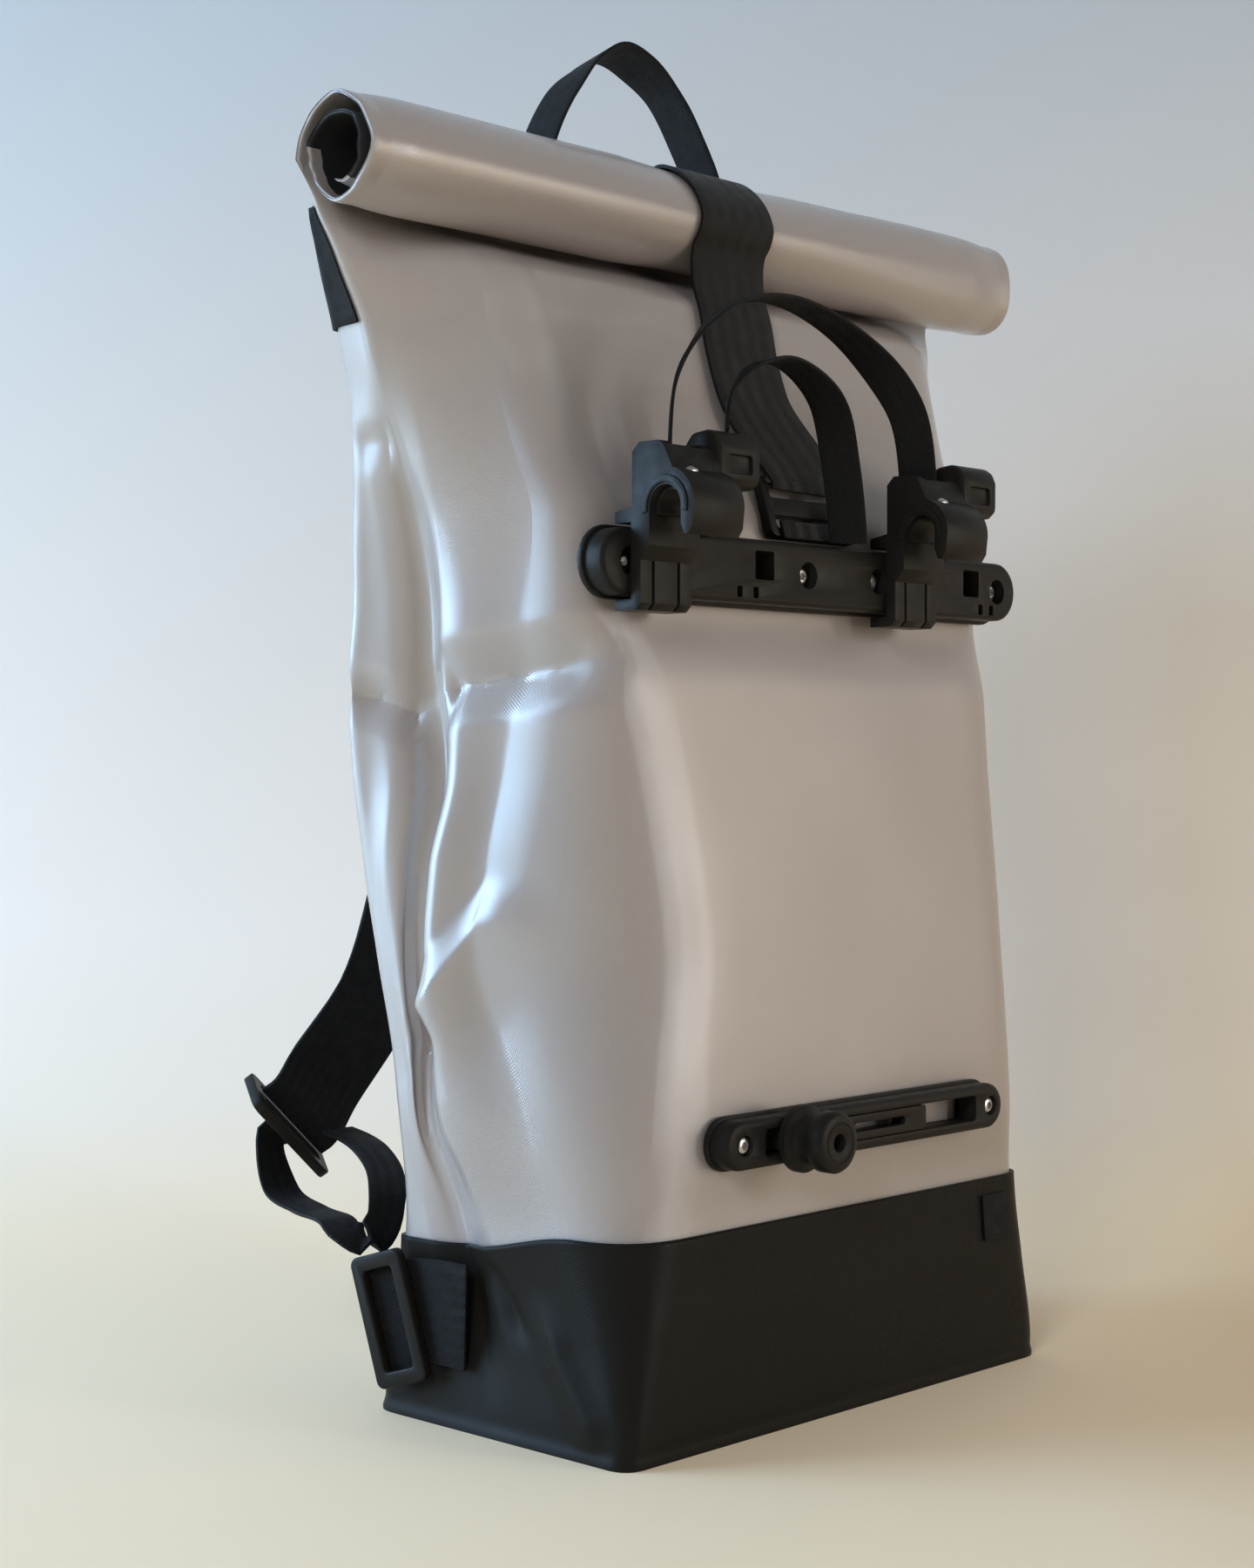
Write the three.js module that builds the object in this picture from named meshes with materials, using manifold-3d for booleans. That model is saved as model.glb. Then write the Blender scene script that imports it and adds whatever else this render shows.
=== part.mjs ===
// Roll-top cycling backpack with rack hooks. Millimetres, +Z up.
// X is the bag's width, the rack side faces -Y, and the shoulder straps are on the +Y side.
// The origin is the middle of the boot's flat floor.

import * as THREE from 'three';
import { mergeVertices } from 'three/addons/utils/BufferGeometryUtils.js';
import Module from 'manifold-3d';

const wasm = await Module();
wasm.setup();

// Driving dimensions
const GAP = 0.3;
const TARP_WALL = 1.3;
const BOOT_WALL = 1.6;
const BOOT_FLOOR = 2.4;
const BOOT_HEIGHT = 92;
const BOOT_DIP = 11;
const TARP_TUCK = 21;
const WEB_THICKNESS = 1.6;

const ROLL = { centreY: 2, centreZ: 549, radius: 24.6, roundness: 1.6, pitch: 8.6, degrees: 600, step: 30 };
const ROLL_SEAT = ROLL.centreY + ROLL.radius;
const FLAT_HALF = 2.4;

const BAND_HEIGHTS = [485, 508, 517, 532];
const BAND_LIFT = 0.6;
const BAND_TOP = BAND_HEIGHTS[BAND_HEIGHTS.length - 1];
const CLOSURE = {
  width: 50, topX: -17, bottomX: 4,
  buckleY: -48.8, buckleZ: 414, buckleTall: 30, buckleDeep: 5, buckleLean: 0.3,
};
const HANDLE = { width: 24, footZ: 506 };
const SHOULDER = { width: 50, thickness: 3, topX: 70, topZ: 504 };
const SLIDER = { width: 58, height: 30, depth: 5, slotWidth: 44, slotHeight: 5.5, slotZ: 6.5 };
const ADJUSTER_WIDTH = 18;
const CORNER_BUCKLE = { width: 30, height: 60, depth: 5, windowWidth: 17, windowHeight: 46, lean: 0.3 };
const SIDE_TAG = { width: 20, bottom: 62, top: 84, fromCorner: 20, thickness: 1 };

const UPPER_RAIL = { length: 303, height: 32, depth: 14, backY: -52, z: 382 };
const LOWER_RAIL = { length: 206, height: 24, depth: 13, backY: -74.95, z: 130, centreX: 6 };
const HOOKS = { leftX: -117, rightX: 59, bodyWidth: 32, leverWidth: 28 };
const KNOB = { x: -48, flangeRadius: 15, neckRadius: 10.5, discRadius: 13.5 };

// The tube's cross-section at each height. frontY and backY are the panels, frontX and backX half the
// distance between their corners, foldX and foldY the fold along each side. The round columns are how far
// each corner is cut back, puff is how far the side bulges, and shift leans the top to one side.
const SECTION_COLUMNS = [
  'z', 'frontY', 'backY', 'foldX', 'foldY', 'frontX', 'backX',
  'roundLeft', 'roundRight', 'roundBack', 'puff', 'shift',
];
const SECTION_ROWS = [
  [0, -80, 80, 150, 0, 150, 150, 10, 14, 14, 0, 0],
  [10, -81, 80, 149, 4, 150, 150, 12, 14, 14, 0, 0],
  [50, -79, 74, 146, 16, 147, 150, 24, 16, 14, 0, 0],
  [92, -76, 68, 147, 27, 145, 150, 40, 18, 14, 2, 0],
  [150, -74, 71, 149, 33, 145, 151, 56, 20, 16, 8, 0],
  [211, -70, 79, 148, 38, 145, 153, 76, 22, 18, 11, 0],
  [250, -67, 82, 146, 37, 145, 157, 70, 22, 20, 11, 0],
  [290, -63, 82, 146, 32, 145, 162, 58, 22, 20, 10, 0],
  [330, -59, 80, 149, 32, 146, 166, 44, 22, 20, 7, 0],
  [364, -51.5, 74, 157, 31, 146, 171, 32, 20, 18, 6, 0],
  [402, -49.5, 67, 168, 28, 146, 178, 24, 19, 17, 4, -1],
  [430, -39.5, 60, 179, 26, 146, 182, 20, 18, 16, 3, -4],
  [461, -30.5, 54, 190, 23, 146, 185, 18, 16, 14, 1, -7],
  [485, -25, 50, 196, 22, 146, 192, 16, 14, 12, 0, -10],
  [508, -20, 43, 206, 22, 146, 202, 14, 14, 10, 0, -12],
  [517, -9, 40, 209, 23, 146, 205, 12, 12, 8, 0, -13],
  [532, 18.5, 36, 214, 26, 146, 208, 10, 10, 6, 0, -15],
  [ROLL.centreZ, ROLL_SEAT - FLAT_HALF, ROLL_SEAT + FLAT_HALF, 225, ROLL_SEAT, 146, 196, 12, 12, 10, 0, -16],
];

// Buckled dents in the sides: each is a valley along a sloping line, on the left (-1) or the right (1).
const DENTS = [
  { side: -1, y: -10, z: 334, slope: -0.12, reachY: 46, reachZ: 12, depth: 9 },
  { side: -1, y: 0, z: 214, slope: -1.0, reachY: 34, reachZ: 17, depth: 9 },
  { side: -1, y: 54, z: 314, slope: 0.3, reachY: 20, reachZ: 15, depth: 7 },
  { side: -1, y: 30, z: 180, slope: 0, reachY: 24, reachZ: 20, depth: 5 },
  { side: 1, y: 0, z: 300, slope: 0.3, reachY: 40, reachZ: 16, depth: 7 },
  { side: 1, y: 30, z: 190, slope: -0.5, reachY: 34, reachZ: 20, depth: 6 },
];

// Points along one turn of the section: steps in each straight run, and in each rounded corner
const RUN_STEPS = { front: 5, sideFront: 4, sideBack: 2, back: 5 };
const CORNER_STEPS = 3;
const FOLD_STEPS = 2;
const FOLD_ROUND = 3;
const LONGEST_STEP = 35;

const FINISHES = {
  tarp: new THREE.MeshStandardMaterial({ color: 0xb4aaae, roughness: 0.35, metalness: 0 }),
  boot: new THREE.MeshStandardMaterial({ color: 0x1b1b1a, roughness: 0.4, metalness: 0 }),
  webbing: new THREE.MeshStandardMaterial({ color: 0x141416, roughness: 0.75, metalness: 0 }),
  plastic: new THREE.MeshStandardMaterial({ color: 0x1e1d1b, roughness: 0.55, metalness: 0 }),
  steel: new THREE.MeshStandardMaterial({ color: 0xbfc0c2, roughness: 0.3, metalness: 1 }),
};

const model = new THREE.Group();

function addPiece(name, geometry, material) {
  const mesh = new THREE.Mesh(geometry, material);
  mesh.name = name;
  model.add(mesh);
  return mesh;
}

// Geometry helpers

function vec(x, y, z) {
  return new THREE.Vector3(x, y, z);
}

// A flat end of a loft, triangulated in the plane of its own ring
function capTriangles(ring) {
  const normal = vec(0, 0, 0);
  ring.forEach((point, index) => {
    normal.add(point.clone().cross(ring[(index + 1) % ring.length]));
  });
  normal.normalize();
  const across = ring[1].clone().sub(ring[0]).normalize();
  const up = normal.clone().cross(across);
  const flat = ring.map((point) => new THREE.Vector2(point.dot(across), point.dot(up)));
  return THREE.ShapeUtils.triangulateShape(flat, []);
}

// A closed solid through rings of equal length. With joinEnds the last ring meets the first.
function loft(rings, joinEnds = false) {
  const count = rings[0].length;
  const triangles = [];
  const spans = joinEnds ? rings.length : rings.length - 1;
  for (let row = 0; row < spans; row += 1) {
    const lower = row * count;
    const upper = ((row + 1) % rings.length) * count;
    for (let column = 0; column < count; column += 1) {
      const next = (column + 1) % count;
      triangles.push(lower + column, lower + next, upper + next);
      triangles.push(lower + column, upper + next, upper + column);
    }
  }
  if (!joinEnds) {
    const last = (rings.length - 1) * count;
    capTriangles(rings[0]).forEach(([a, b, c]) => triangles.push(a, c, b));
    capTriangles(rings[rings.length - 1]).forEach(([a, b, c]) => {
      triangles.push(last + a, last + b, last + c);
    });
  }
  const geometry = new THREE.BufferGeometry().setFromPoints(rings.flat());
  geometry.setIndex(triangles);
  return geometry;
}

// A closed sheet between two grids of points with the same rows and columns, face and back
function slab(face, back) {
  const rows = face.length;
  const columns = face[0].length;
  const backStart = rows * columns;
  const triangles = [];
  const quad = (a, b, c, d) => triangles.push(a, b, c, a, c, d);
  for (let row = 0; row + 1 < rows; row += 1) {
    for (let column = 0; column + 1 < columns; column += 1) {
      const here = row * columns + column;
      quad(here, here + 1, here + columns + 1, here + columns);
      const behind = backStart + here;
      quad(behind, behind + columns, behind + columns + 1, behind + 1);
    }
  }
  for (let column = 0; column + 1 < columns; column += 1) {
    const top = (rows - 1) * columns + column;
    quad(backStart + column, backStart + column + 1, column + 1, column);
    quad(top, top + 1, backStart + top + 1, backStart + top);
  }
  for (let row = 0; row + 1 < rows; row += 1) {
    const start = row * columns;
    const end = start + columns - 1;
    quad(start, start + columns, backStart + start + columns, backStart + start);
    quad(end, backStart + end, backStart + end + columns, end + columns);
  }
  const geometry = new THREE.BufferGeometry().setFromPoints([...face.flat(), ...back.flat()]);
  geometry.setIndex(triangles);
  return geometry;
}

// A strap through stations {at, wide}: its middle line and the direction of its width there
function ribbon(stations, width, steps, thickness = WEB_THICKNESS) {
  const line = new THREE.CatmullRomCurve3(stations.map((station) => station.at), false, 'centripetal');
  const spread = new THREE.CatmullRomCurve3(stations.map((station) => station.wide));
  const rings = [];
  for (let step = 0; step <= steps; step += 1) {
    const u = step / steps;
    const middle = line.getPoint(u);
    const along = line.getTangent(u);
    const wide = spread.getPoint(u);
    wide.addScaledVector(along, -wide.dot(along)).setLength(width / 2);
    const thick = along.clone().cross(wide).setLength(thickness / 2);
    rings.push([
      middle.clone().sub(wide).sub(thick),
      middle.clone().add(wide).sub(thick),
      middle.clone().add(wide).add(thick),
      middle.clone().sub(wide).add(thick),
    ]);
  }
  return loft(rings);
}

// Extrudes a shape drawn in (y, z) along X from fromX, by width
function extrudeAlongX(shape, fromX, width, curveSegments = 6) {
  const geometry = new THREE.ExtrudeGeometry(shape, { depth: width, bevelEnabled: false, curveSegments });
  const frame = new THREE.Matrix4().makeBasis(vec(0, 1, 0), vec(0, 0, 1), vec(1, 0, 0));
  return geometry.applyMatrix4(frame).translate(fromX, 0, 0);
}

// Extrudes a shape drawn in (x, z) towards -Y from fromY, by depth
function extrudeForward(shape, fromY, depth, curveSegments = 6) {
  const geometry = new THREE.ExtrudeGeometry(shape, { depth, bevelEnabled: false, curveSegments });
  return geometry.rotateX(Math.PI / 2).translate(0, fromY, 0);
}

function stadium(x, z, length, height) {
  const radius = height / 2;
  const reach = length / 2 - radius;
  const shape = new THREE.Shape();
  shape.absarc(x + reach, z, radius, -Math.PI / 2, Math.PI / 2);
  shape.absarc(x - reach, z, radius, Math.PI / 2, Math.PI * 1.5);
  shape.closePath();
  return shape;
}

function disc(x, z, radius) {
  const shape = new THREE.Shape();
  shape.absarc(x, z, radius, 0, Math.PI * 2);
  return shape;
}

function rectangle(x, z, width, height) {
  const shape = new THREE.Shape();
  shape.moveTo(x - width / 2, z - height / 2);
  shape.lineTo(x + width / 2, z - height / 2);
  shape.lineTo(x + width / 2, z + height / 2);
  shape.lineTo(x - width / 2, z + height / 2);
  shape.closePath();
  return shape;
}

function roundedRectangle(width, height, radius) {
  const shape = new THREE.Shape();
  const x = width / 2 - radius;
  const z = height / 2 - radius;
  shape.absarc(x, -z, radius, -Math.PI / 2, 0);
  shape.absarc(x, z, radius, 0, Math.PI / 2);
  shape.absarc(-x, z, radius, Math.PI / 2, Math.PI);
  shape.absarc(-x, -z, radius, Math.PI, Math.PI * 1.5);
  shape.closePath();
  return shape;
}

function polygon(points) {
  return new THREE.Shape(points.map(([y, z]) => new THREE.Vector2(y, z)));
}

function toSolid(geometry) {
  const bare = geometry.clone();
  bare.deleteAttribute('normal');
  bare.deleteAttribute('uv');
  const merged = mergeVertices(bare, 1e-4);
  return new wasm.Manifold(new wasm.Mesh({
    numProp: 3,
    vertProperties: new Float32Array(merged.attributes.position.array),
    triVerts: new Uint32Array(merged.index.array),
  }));
}

function toGeometry(solid) {
  const mesh = solid.getMesh();
  const geometry = new THREE.BufferGeometry();
  geometry.setAttribute('position', new THREE.BufferAttribute(mesh.vertProperties, 3));
  geometry.setIndex(new THREE.BufferAttribute(mesh.triVerts, 1));
  return geometry;
}

function cut(geometry, ...cutters) {
  const solids = cutters.map(toSolid);
  return toGeometry(solids.reduce((whole, solid) => whole.subtract(solid), toSolid(geometry)));
}

// The tube's shape

// The section row at a height, between the table's rows
function sectionAt(z) {
  const rows = SECTION_ROWS;
  let upper = rows.findIndex((row) => row[0] >= z);
  if (upper < 1) upper = 1;
  const low = rows[upper - 1];
  const high = rows[upper];
  const share = (z - low[0]) / (high[0] - low[0]);
  const values = low.map((value, column) => value + (high[column] - value) * share);
  return Object.fromEntries(SECTION_COLUMNS.map((name, column) => [name, values[column]]));
}

// One turn of the section as flat points, anticlockwise from the front left corner
function outline(row) {
  const left = -1;
  const right = 1;
  const corner = (side, x, y, cut, steps) => ({ at: new THREE.Vector2(side * x, y), cut, steps });
  const corners = [
    corner(left, row.frontX, row.frontY, row.roundLeft, CORNER_STEPS),
    corner(right, row.frontX, row.frontY, row.roundRight, CORNER_STEPS),
    corner(right, row.foldX, row.foldY, FOLD_ROUND, FOLD_STEPS),
    corner(right, row.backX, row.backY, row.roundBack, CORNER_STEPS),
    corner(left, row.backX, row.backY, row.roundBack, CORNER_STEPS),
    corner(left, row.foldX, row.foldY, FOLD_ROUND, FOLD_STEPS),
  ];
  const runs = [
    { steps: RUN_STEPS.front, puff: 0 },
    { steps: RUN_STEPS.sideFront, puff: row.puff },
    { steps: RUN_STEPS.sideBack, puff: row.puff / 3 },
    { steps: RUN_STEPS.back, puff: 0 },
    { steps: RUN_STEPS.sideBack, puff: row.puff / 3 },
    { steps: RUN_STEPS.sideFront, puff: row.puff },
  ];
  const points = [];
  corners.forEach((here, index) => {
    const before = corners[(index + corners.length - 1) % corners.length].at;
    const next = corners[(index + 1) % corners.length];
    const inward = before.clone().sub(here.at);
    const start = here.at.clone().addScaledVector(inward, here.cut / inward.length());
    const onward = next.at.clone().sub(here.at);
    const end = here.at.clone().addScaledVector(onward, here.cut / onward.length());
    const bend = new THREE.QuadraticBezierCurve(start, here.at, end);
    points.push(...bend.getPoints(here.steps));
    const runEnd = next.at.clone().addScaledVector(onward, -next.cut / onward.length());
    const outward = new THREE.Vector2(onward.y, -onward.x).normalize();
    for (let step = 1; step < runs[index].steps; step += 1) {
      const share = step / runs[index].steps;
      const bulge = runs[index].puff * 4 * share * (1 - share);
      points.push(end.clone().lerp(runEnd, share).addScaledVector(outward, bulge));
    }
  });
  return points;
}

function dentDepth(point, z) {
  return DENTS.filter((dent) => dent.side * point.x > 0).reduce((sum, dent) => {
    const across = (point.y - dent.y) / dent.reachY;
    const along = (z - dent.z - dent.slope * (point.y - dent.y)) / dent.reachZ;
    return sum + dent.depth * Math.exp(-across * across - along * along);
  }, 0);
}

// Moves each point of a turn towards the inside by a depth that may vary along the turn
function inset(points, depthAt) {
  const limit = 2.2;
  return points.map((point, index) => {
    const before = points[(index + points.length - 1) % points.length];
    const after = points[(index + 1) % points.length];
    const arriving = point.clone().sub(before).normalize();
    const leaving = after.clone().sub(point).normalize();
    const normal = new THREE.Vector2(-arriving.y - leaving.y, arriving.x + leaving.x).normalize();
    const miter = Math.min(limit, 1 / Math.max(0.1, normal.x * -arriving.y + normal.y * arriving.x));
    return point.clone().addScaledVector(normal, depthAt(point) * miter);
  });
}

// The turn at a height on the upright bag, moved inwards by depth
function bagRing(z, depth) {
  const row = sectionAt(z);
  const dented = inset(outline(row), (point) => dentDepth(point, z));
  return inset(dented, () => depth).map((point) => vec(point.x + row.shift, point.y, z));
}

// The roll's middle layer, as its distance from the roll's axis after turning by angle. The roll is a rounded
// diamond, and steps in by one pitch in the second half of each turn.
function rollRadius(angle) {
  const power = ROLL.roundness;
  const spread = Math.abs(Math.cos(angle)) ** power + Math.abs(Math.sin(angle)) ** power;
  const turns = angle / (2 * Math.PI);
  const whole = Math.floor(turns + 1e-9);
  const wound = whole + THREE.MathUtils.smoothstep(turns - whole, 0.5, 1);
  return ROLL.radius * spread ** (-1 / power) - ROLL.pitch * wound;
}

function rollPoint(x, angle, lift) {
  const radius = rollRadius(angle) + lift;
  return vec(x, ROLL.centreY + radius * Math.cos(angle), ROLL.centreZ + radius * Math.sin(angle));
}

// The flattened turn at an angle of the roll, moved inwards by depth
function rollRing(angle, depth) {
  const row = sectionAt(ROLL.centreZ);
  const flatY = (row.frontY + row.backY) / 2;
  const turn = inset(outline(row), () => depth);
  return turn.map((point) => rollPoint(point.x + row.shift, angle, point.y - flatY));
}

function tarpRings(depth) {
  const tuckDepth = BOOT_WALL + GAP * 2;
  const easeHeight = 40;
  const rings = [];
  const heights = [BOOT_HEIGHT - TARP_TUCK];
  const tableHeights = SECTION_ROWS.map((row) => row[0]).filter((z) => z >= BOOT_HEIGHT);
  tableHeights.slice(1).forEach((high, index) => {
    const low = tableHeights[index];
    const steps = Math.ceil((high - low) / LONGEST_STEP);
    for (let step = 0; step < steps; step += 1) {
      heights.push(low + ((high - low) * step) / steps);
    }
  });
  heights.forEach((z) => {
    const freed = Math.min(1, Math.max(0, (z - BOOT_HEIGHT) / easeHeight));
    rings.push(bagRing(z, depth + tuckDepth * (1 - freed)));
  });
  for (let degrees = 0; degrees <= ROLL.degrees; degrees += ROLL.step) {
    rings.push(rollRing(THREE.MathUtils.degToRad(degrees), depth));
  }
  return rings;
}

function makeTarpBody() {
  const outside = tarpRings(0);
  const inside = tarpRings(TARP_WALL).reverse();
  addPiece('tarp_body', loft([...outside, ...inside], true), FINISHES.tarp);
}

function makeBoot() {
  const tuckZ = BOOT_HEIGHT - TARP_TUCK;
  const dipped = (depth) => bagRing(BOOT_HEIGHT, 0).map((point, index) => {
    const height = BOOT_HEIGHT - BOOT_DIP * THREE.MathUtils.smoothstep(point.y, -45, 30);
    return bagRing(height, depth)[index];
  });
  const outside = [0, 5, 10, 30, 50, tuckZ].map((z) => bagRing(z, 0));
  const inside = [tuckZ, 50, 30, 10, BOOT_FLOOR].map((z) => bagRing(z, BOOT_WALL));
  addPiece('base_boot', loft([...outside, dipped(0), dipped(BOOT_WALL), ...inside]), FINISHES.boot);
}

// The back of the turn at a height, from fold to fold, moved outwards by lift
function backLine(z, lift) {
  const firstBack = RUN_STEPS.front + RUN_STEPS.sideFront + CORNER_STEPS * 2 + FOLD_STEPS;
  const span = RUN_STEPS.sideBack * 2 + RUN_STEPS.back + CORNER_STEPS * 2;
  return bagRing(z, -lift).slice(firstBack, firstBack + span + 1);
}

function makeBackBand() {
  const face = BAND_HEIGHTS.map((z) => backLine(z, BAND_LIFT + WEB_THICKNESS));
  const back = BAND_HEIGHTS.map((z) => backLine(z, BAND_LIFT));
  addPiece('back_band', slab(face, back), FINISHES.webbing);
}

// How far behind the middle plane the outside of the band lies
function bandFace(z) {
  return sectionAt(z).backY + BAND_LIFT + WEB_THICKNESS;
}

// The middle of a strap that lies on the front of the closure buckle, at a height above the buckle's middle
function onBuckle(height) {
  const front = CLOSURE.buckleDeep / 2 + GAP + WEB_THICKNESS / 2;
  const sine = Math.sin(CLOSURE.buckleLean);
  const cosine = Math.cos(CLOSURE.buckleLean);
  const y = CLOSURE.buckleY + height * sine - front * cosine;
  return vec(CLOSURE.bottomX, y, CLOSURE.buckleZ + height * cosine + front * sine);
}

function makeClosure() {
  const wide = vec(1, 0, 0);
  const cornerEase = 0.7;
  const lift = FLAT_HALF + GAP + cornerEase + WEB_THICKNESS / 2;
  const stations = [490, 512, BAND_TOP].map((z) => {
    return { at: vec(CLOSURE.topX, bandFace(z) + GAP * 2 + WEB_THICKNESS / 2, z), wide };
  });
  for (let degrees = 0; degrees <= 210; degrees += 15) {
    stations.push({ at: rollPoint(CLOSURE.topX, THREE.MathUtils.degToRad(degrees), lift), wide });
  }
  stations.push({ at: vec(CLOSURE.topX, -19.4, 520), wide });
  stations.push({ at: vec(CLOSURE.topX, -24, 505), wide });
  stations.push({ at: vec(CLOSURE.topX, -28.2, 486), wide });
  stations.push({ at: vec(-13, -34.4, 462), wide });
  stations.push({ at: onBuckle(CLOSURE.buckleTall / 2 + 1), wide });
  stations.push({ at: onBuckle(CLOSURE.buckleTall / 4), wide });
  addPiece('closure_strap', ribbon(stations, CLOSURE.width, 46), FINISHES.webbing);

  const buckle = roundedRectangle(CLOSURE.width + 12, CLOSURE.buckleTall, 4);
  [-1, 1].forEach((half) => {
    buckle.holes.push(rectangle(0, (half * CLOSURE.buckleTall) / 4, CLOSURE.width + 2, 6));
  });
  const frame = extrudeForward(buckle, CLOSURE.buckleDeep / 2, CLOSURE.buckleDeep);
  frame.rotateX(-CLOSURE.buckleLean);
  frame.translate(CLOSURE.bottomX, CLOSURE.buckleY, CLOSURE.buckleZ);
  addPiece('closure_buckle', frame, FINISHES.plastic);

  const railTop = UPPER_RAIL.z + UPPER_RAIL.height / 2;
  const footDrop = (CLOSURE.buckleZ - railTop - GAP) / Math.cos(CLOSURE.buckleLean);
  const anchor = [{ at: onBuckle(-footDrop), wide }, { at: onBuckle(-CLOSURE.buckleTall / 4), wide }];
  addPiece('buckle_anchor', ribbon(anchor, CLOSURE.width, 2), FINISHES.webbing);
}

function makeCarryHandle() {
  const wide = vec(0, 1, 0);
  const tipped = vec(0, 0.97, -0.23);
  const standoff = bandFace(HANDLE.footZ) + GAP + HANDLE.width / 2;
  const station = (x, z, across) => ({ at: vec(x, standoff, z), wide: across });
  const stations = [
    station(-80, HANDLE.footZ, wide),
    station(-77, 555, wide),
    station(-65, 595, wide),
    station(-50, 620, wide),
    station(-33, 637, tipped),
    station(-16, 646, tipped),
    station(3, 642, tipped),
    station(24, 629, wide),
    station(39, 611, wide),
    station(52, 590, wide),
    station(62, 555, wide),
    station(65, HANDLE.footZ, wide),
  ];
  addPiece('carry_handle', ribbon(stations, HANDLE.width, 22), FINISHES.webbing);
}

// The harness, built for one side: side is -1 on the left and 1 on the right. The shoulder strap ends on the
// face of the slider, which lies across it, and the narrow webbing leaves from the slider's other face.
function makeHarness(side, name) {
  const at = (x, y, z) => vec(side * x, y, z);
  const across = (x, y, z) => vec(-side * x, y, z).normalize();
  const topY = bandFace(SHOULDER.topZ) + GAP + WEB_THICKNESS;
  const sliderMiddle = at(132, 167, 119);
  const sliderLong = across(0.72, -0.02, -0.69);
  const facing = across(0.554, -0.581, 0.596);
  facing.addScaledVector(sliderLong, -facing.dot(sliderLong)).normalize();
  const onSlider = (distance) => sliderMiddle.clone().addScaledVector(facing, distance);
  const shoulder = [
    { at: at(SHOULDER.topX, topY, SHOULDER.topZ), wide: across(1, 0, 0) },
    { at: at(SHOULDER.topX, topY + 20, 470), wide: across(1, 0, 0) },
    { at: at(72, 96, 400), wide: across(1, 0, 0) },
    { at: at(74, 122, 320), wide: across(1, 0, 0) },
    { at: at(75, 143, 228), wide: across(0.97, 0, -0.25) },
    { at: at(86, 153, 180), wide: across(0.9, 0, -0.43) },
    { at: at(112, 163, 140), wide: across(0.8, -0.01, -0.6) },
    { at: onSlider(SLIDER.depth / 2 + 9), wide: sliderLong },
    { at: onSlider(SLIDER.depth / 2 + GAP * 2), wide: sliderLong },
  ];
  const strap = ribbon(shoulder, SHOULDER.width, 18, SHOULDER.thickness);
  addPiece(`shoulder_strap_${name}`, strap, FINISHES.webbing);

  const slider = roundedRectangle(SLIDER.width, SLIDER.height, 5);
  [-1, 1].forEach((half) => {
    slider.holes.push(rectangle(0, half * SLIDER.slotZ, SLIDER.slotWidth, SLIDER.slotHeight));
  });
  const sliderFrame = new THREE.Matrix4().makeBasis(sliderLong, facing.clone().cross(sliderLong), facing);
  const sliderCut = { depth: SLIDER.depth, bevelEnabled: false, curveSegments: 3 };
  const sliderShape = new THREE.ExtrudeGeometry(slider, sliderCut);
  sliderShape.translate(0, 0, -SLIDER.depth / 2).applyMatrix4(sliderFrame);
  sliderShape.translate(sliderMiddle.x, sliderMiddle.y, sliderMiddle.z);
  addPiece(`strap_slider_${name}`, sliderShape, FINISHES.plastic);

  makeCornerBuckle(side, name);

  const webWide = across(0.966, -0.259, 0);
  const web = [
    { at: onSlider(-SLIDER.depth / 2 - GAP * 2), wide: sliderLong },
    { at: onSlider(-SLIDER.depth / 2 - 7), wide: sliderLong },
    { at: at(141, 160, 90), wide: webWide },
    { at: at(146, 132, 84), wide: webWide },
    { at: at(156, 100, 84), wide: webWide },
    { at: at(159, 89, 80), wide: webWide },
    { at: at(151, 82.5, 77), wide: webWide },
    { at: at(143, 82, 84), wide: webWide },
    { at: at(139, 84, 95), wide: webWide },
    { at: at(130, 96, 104), wide: webWide },
    { at: at(121, 116, 111), wide: webWide },
    { at: at(113, 138, 114), wide: webWide },
    { at: at(111, 154, 116), wide: webWide },
  ];
  addPiece(`adjuster_web_${name}`, ribbon(web, ADJUSTER_WIDTH, 28), FINISHES.webbing);
}

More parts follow.
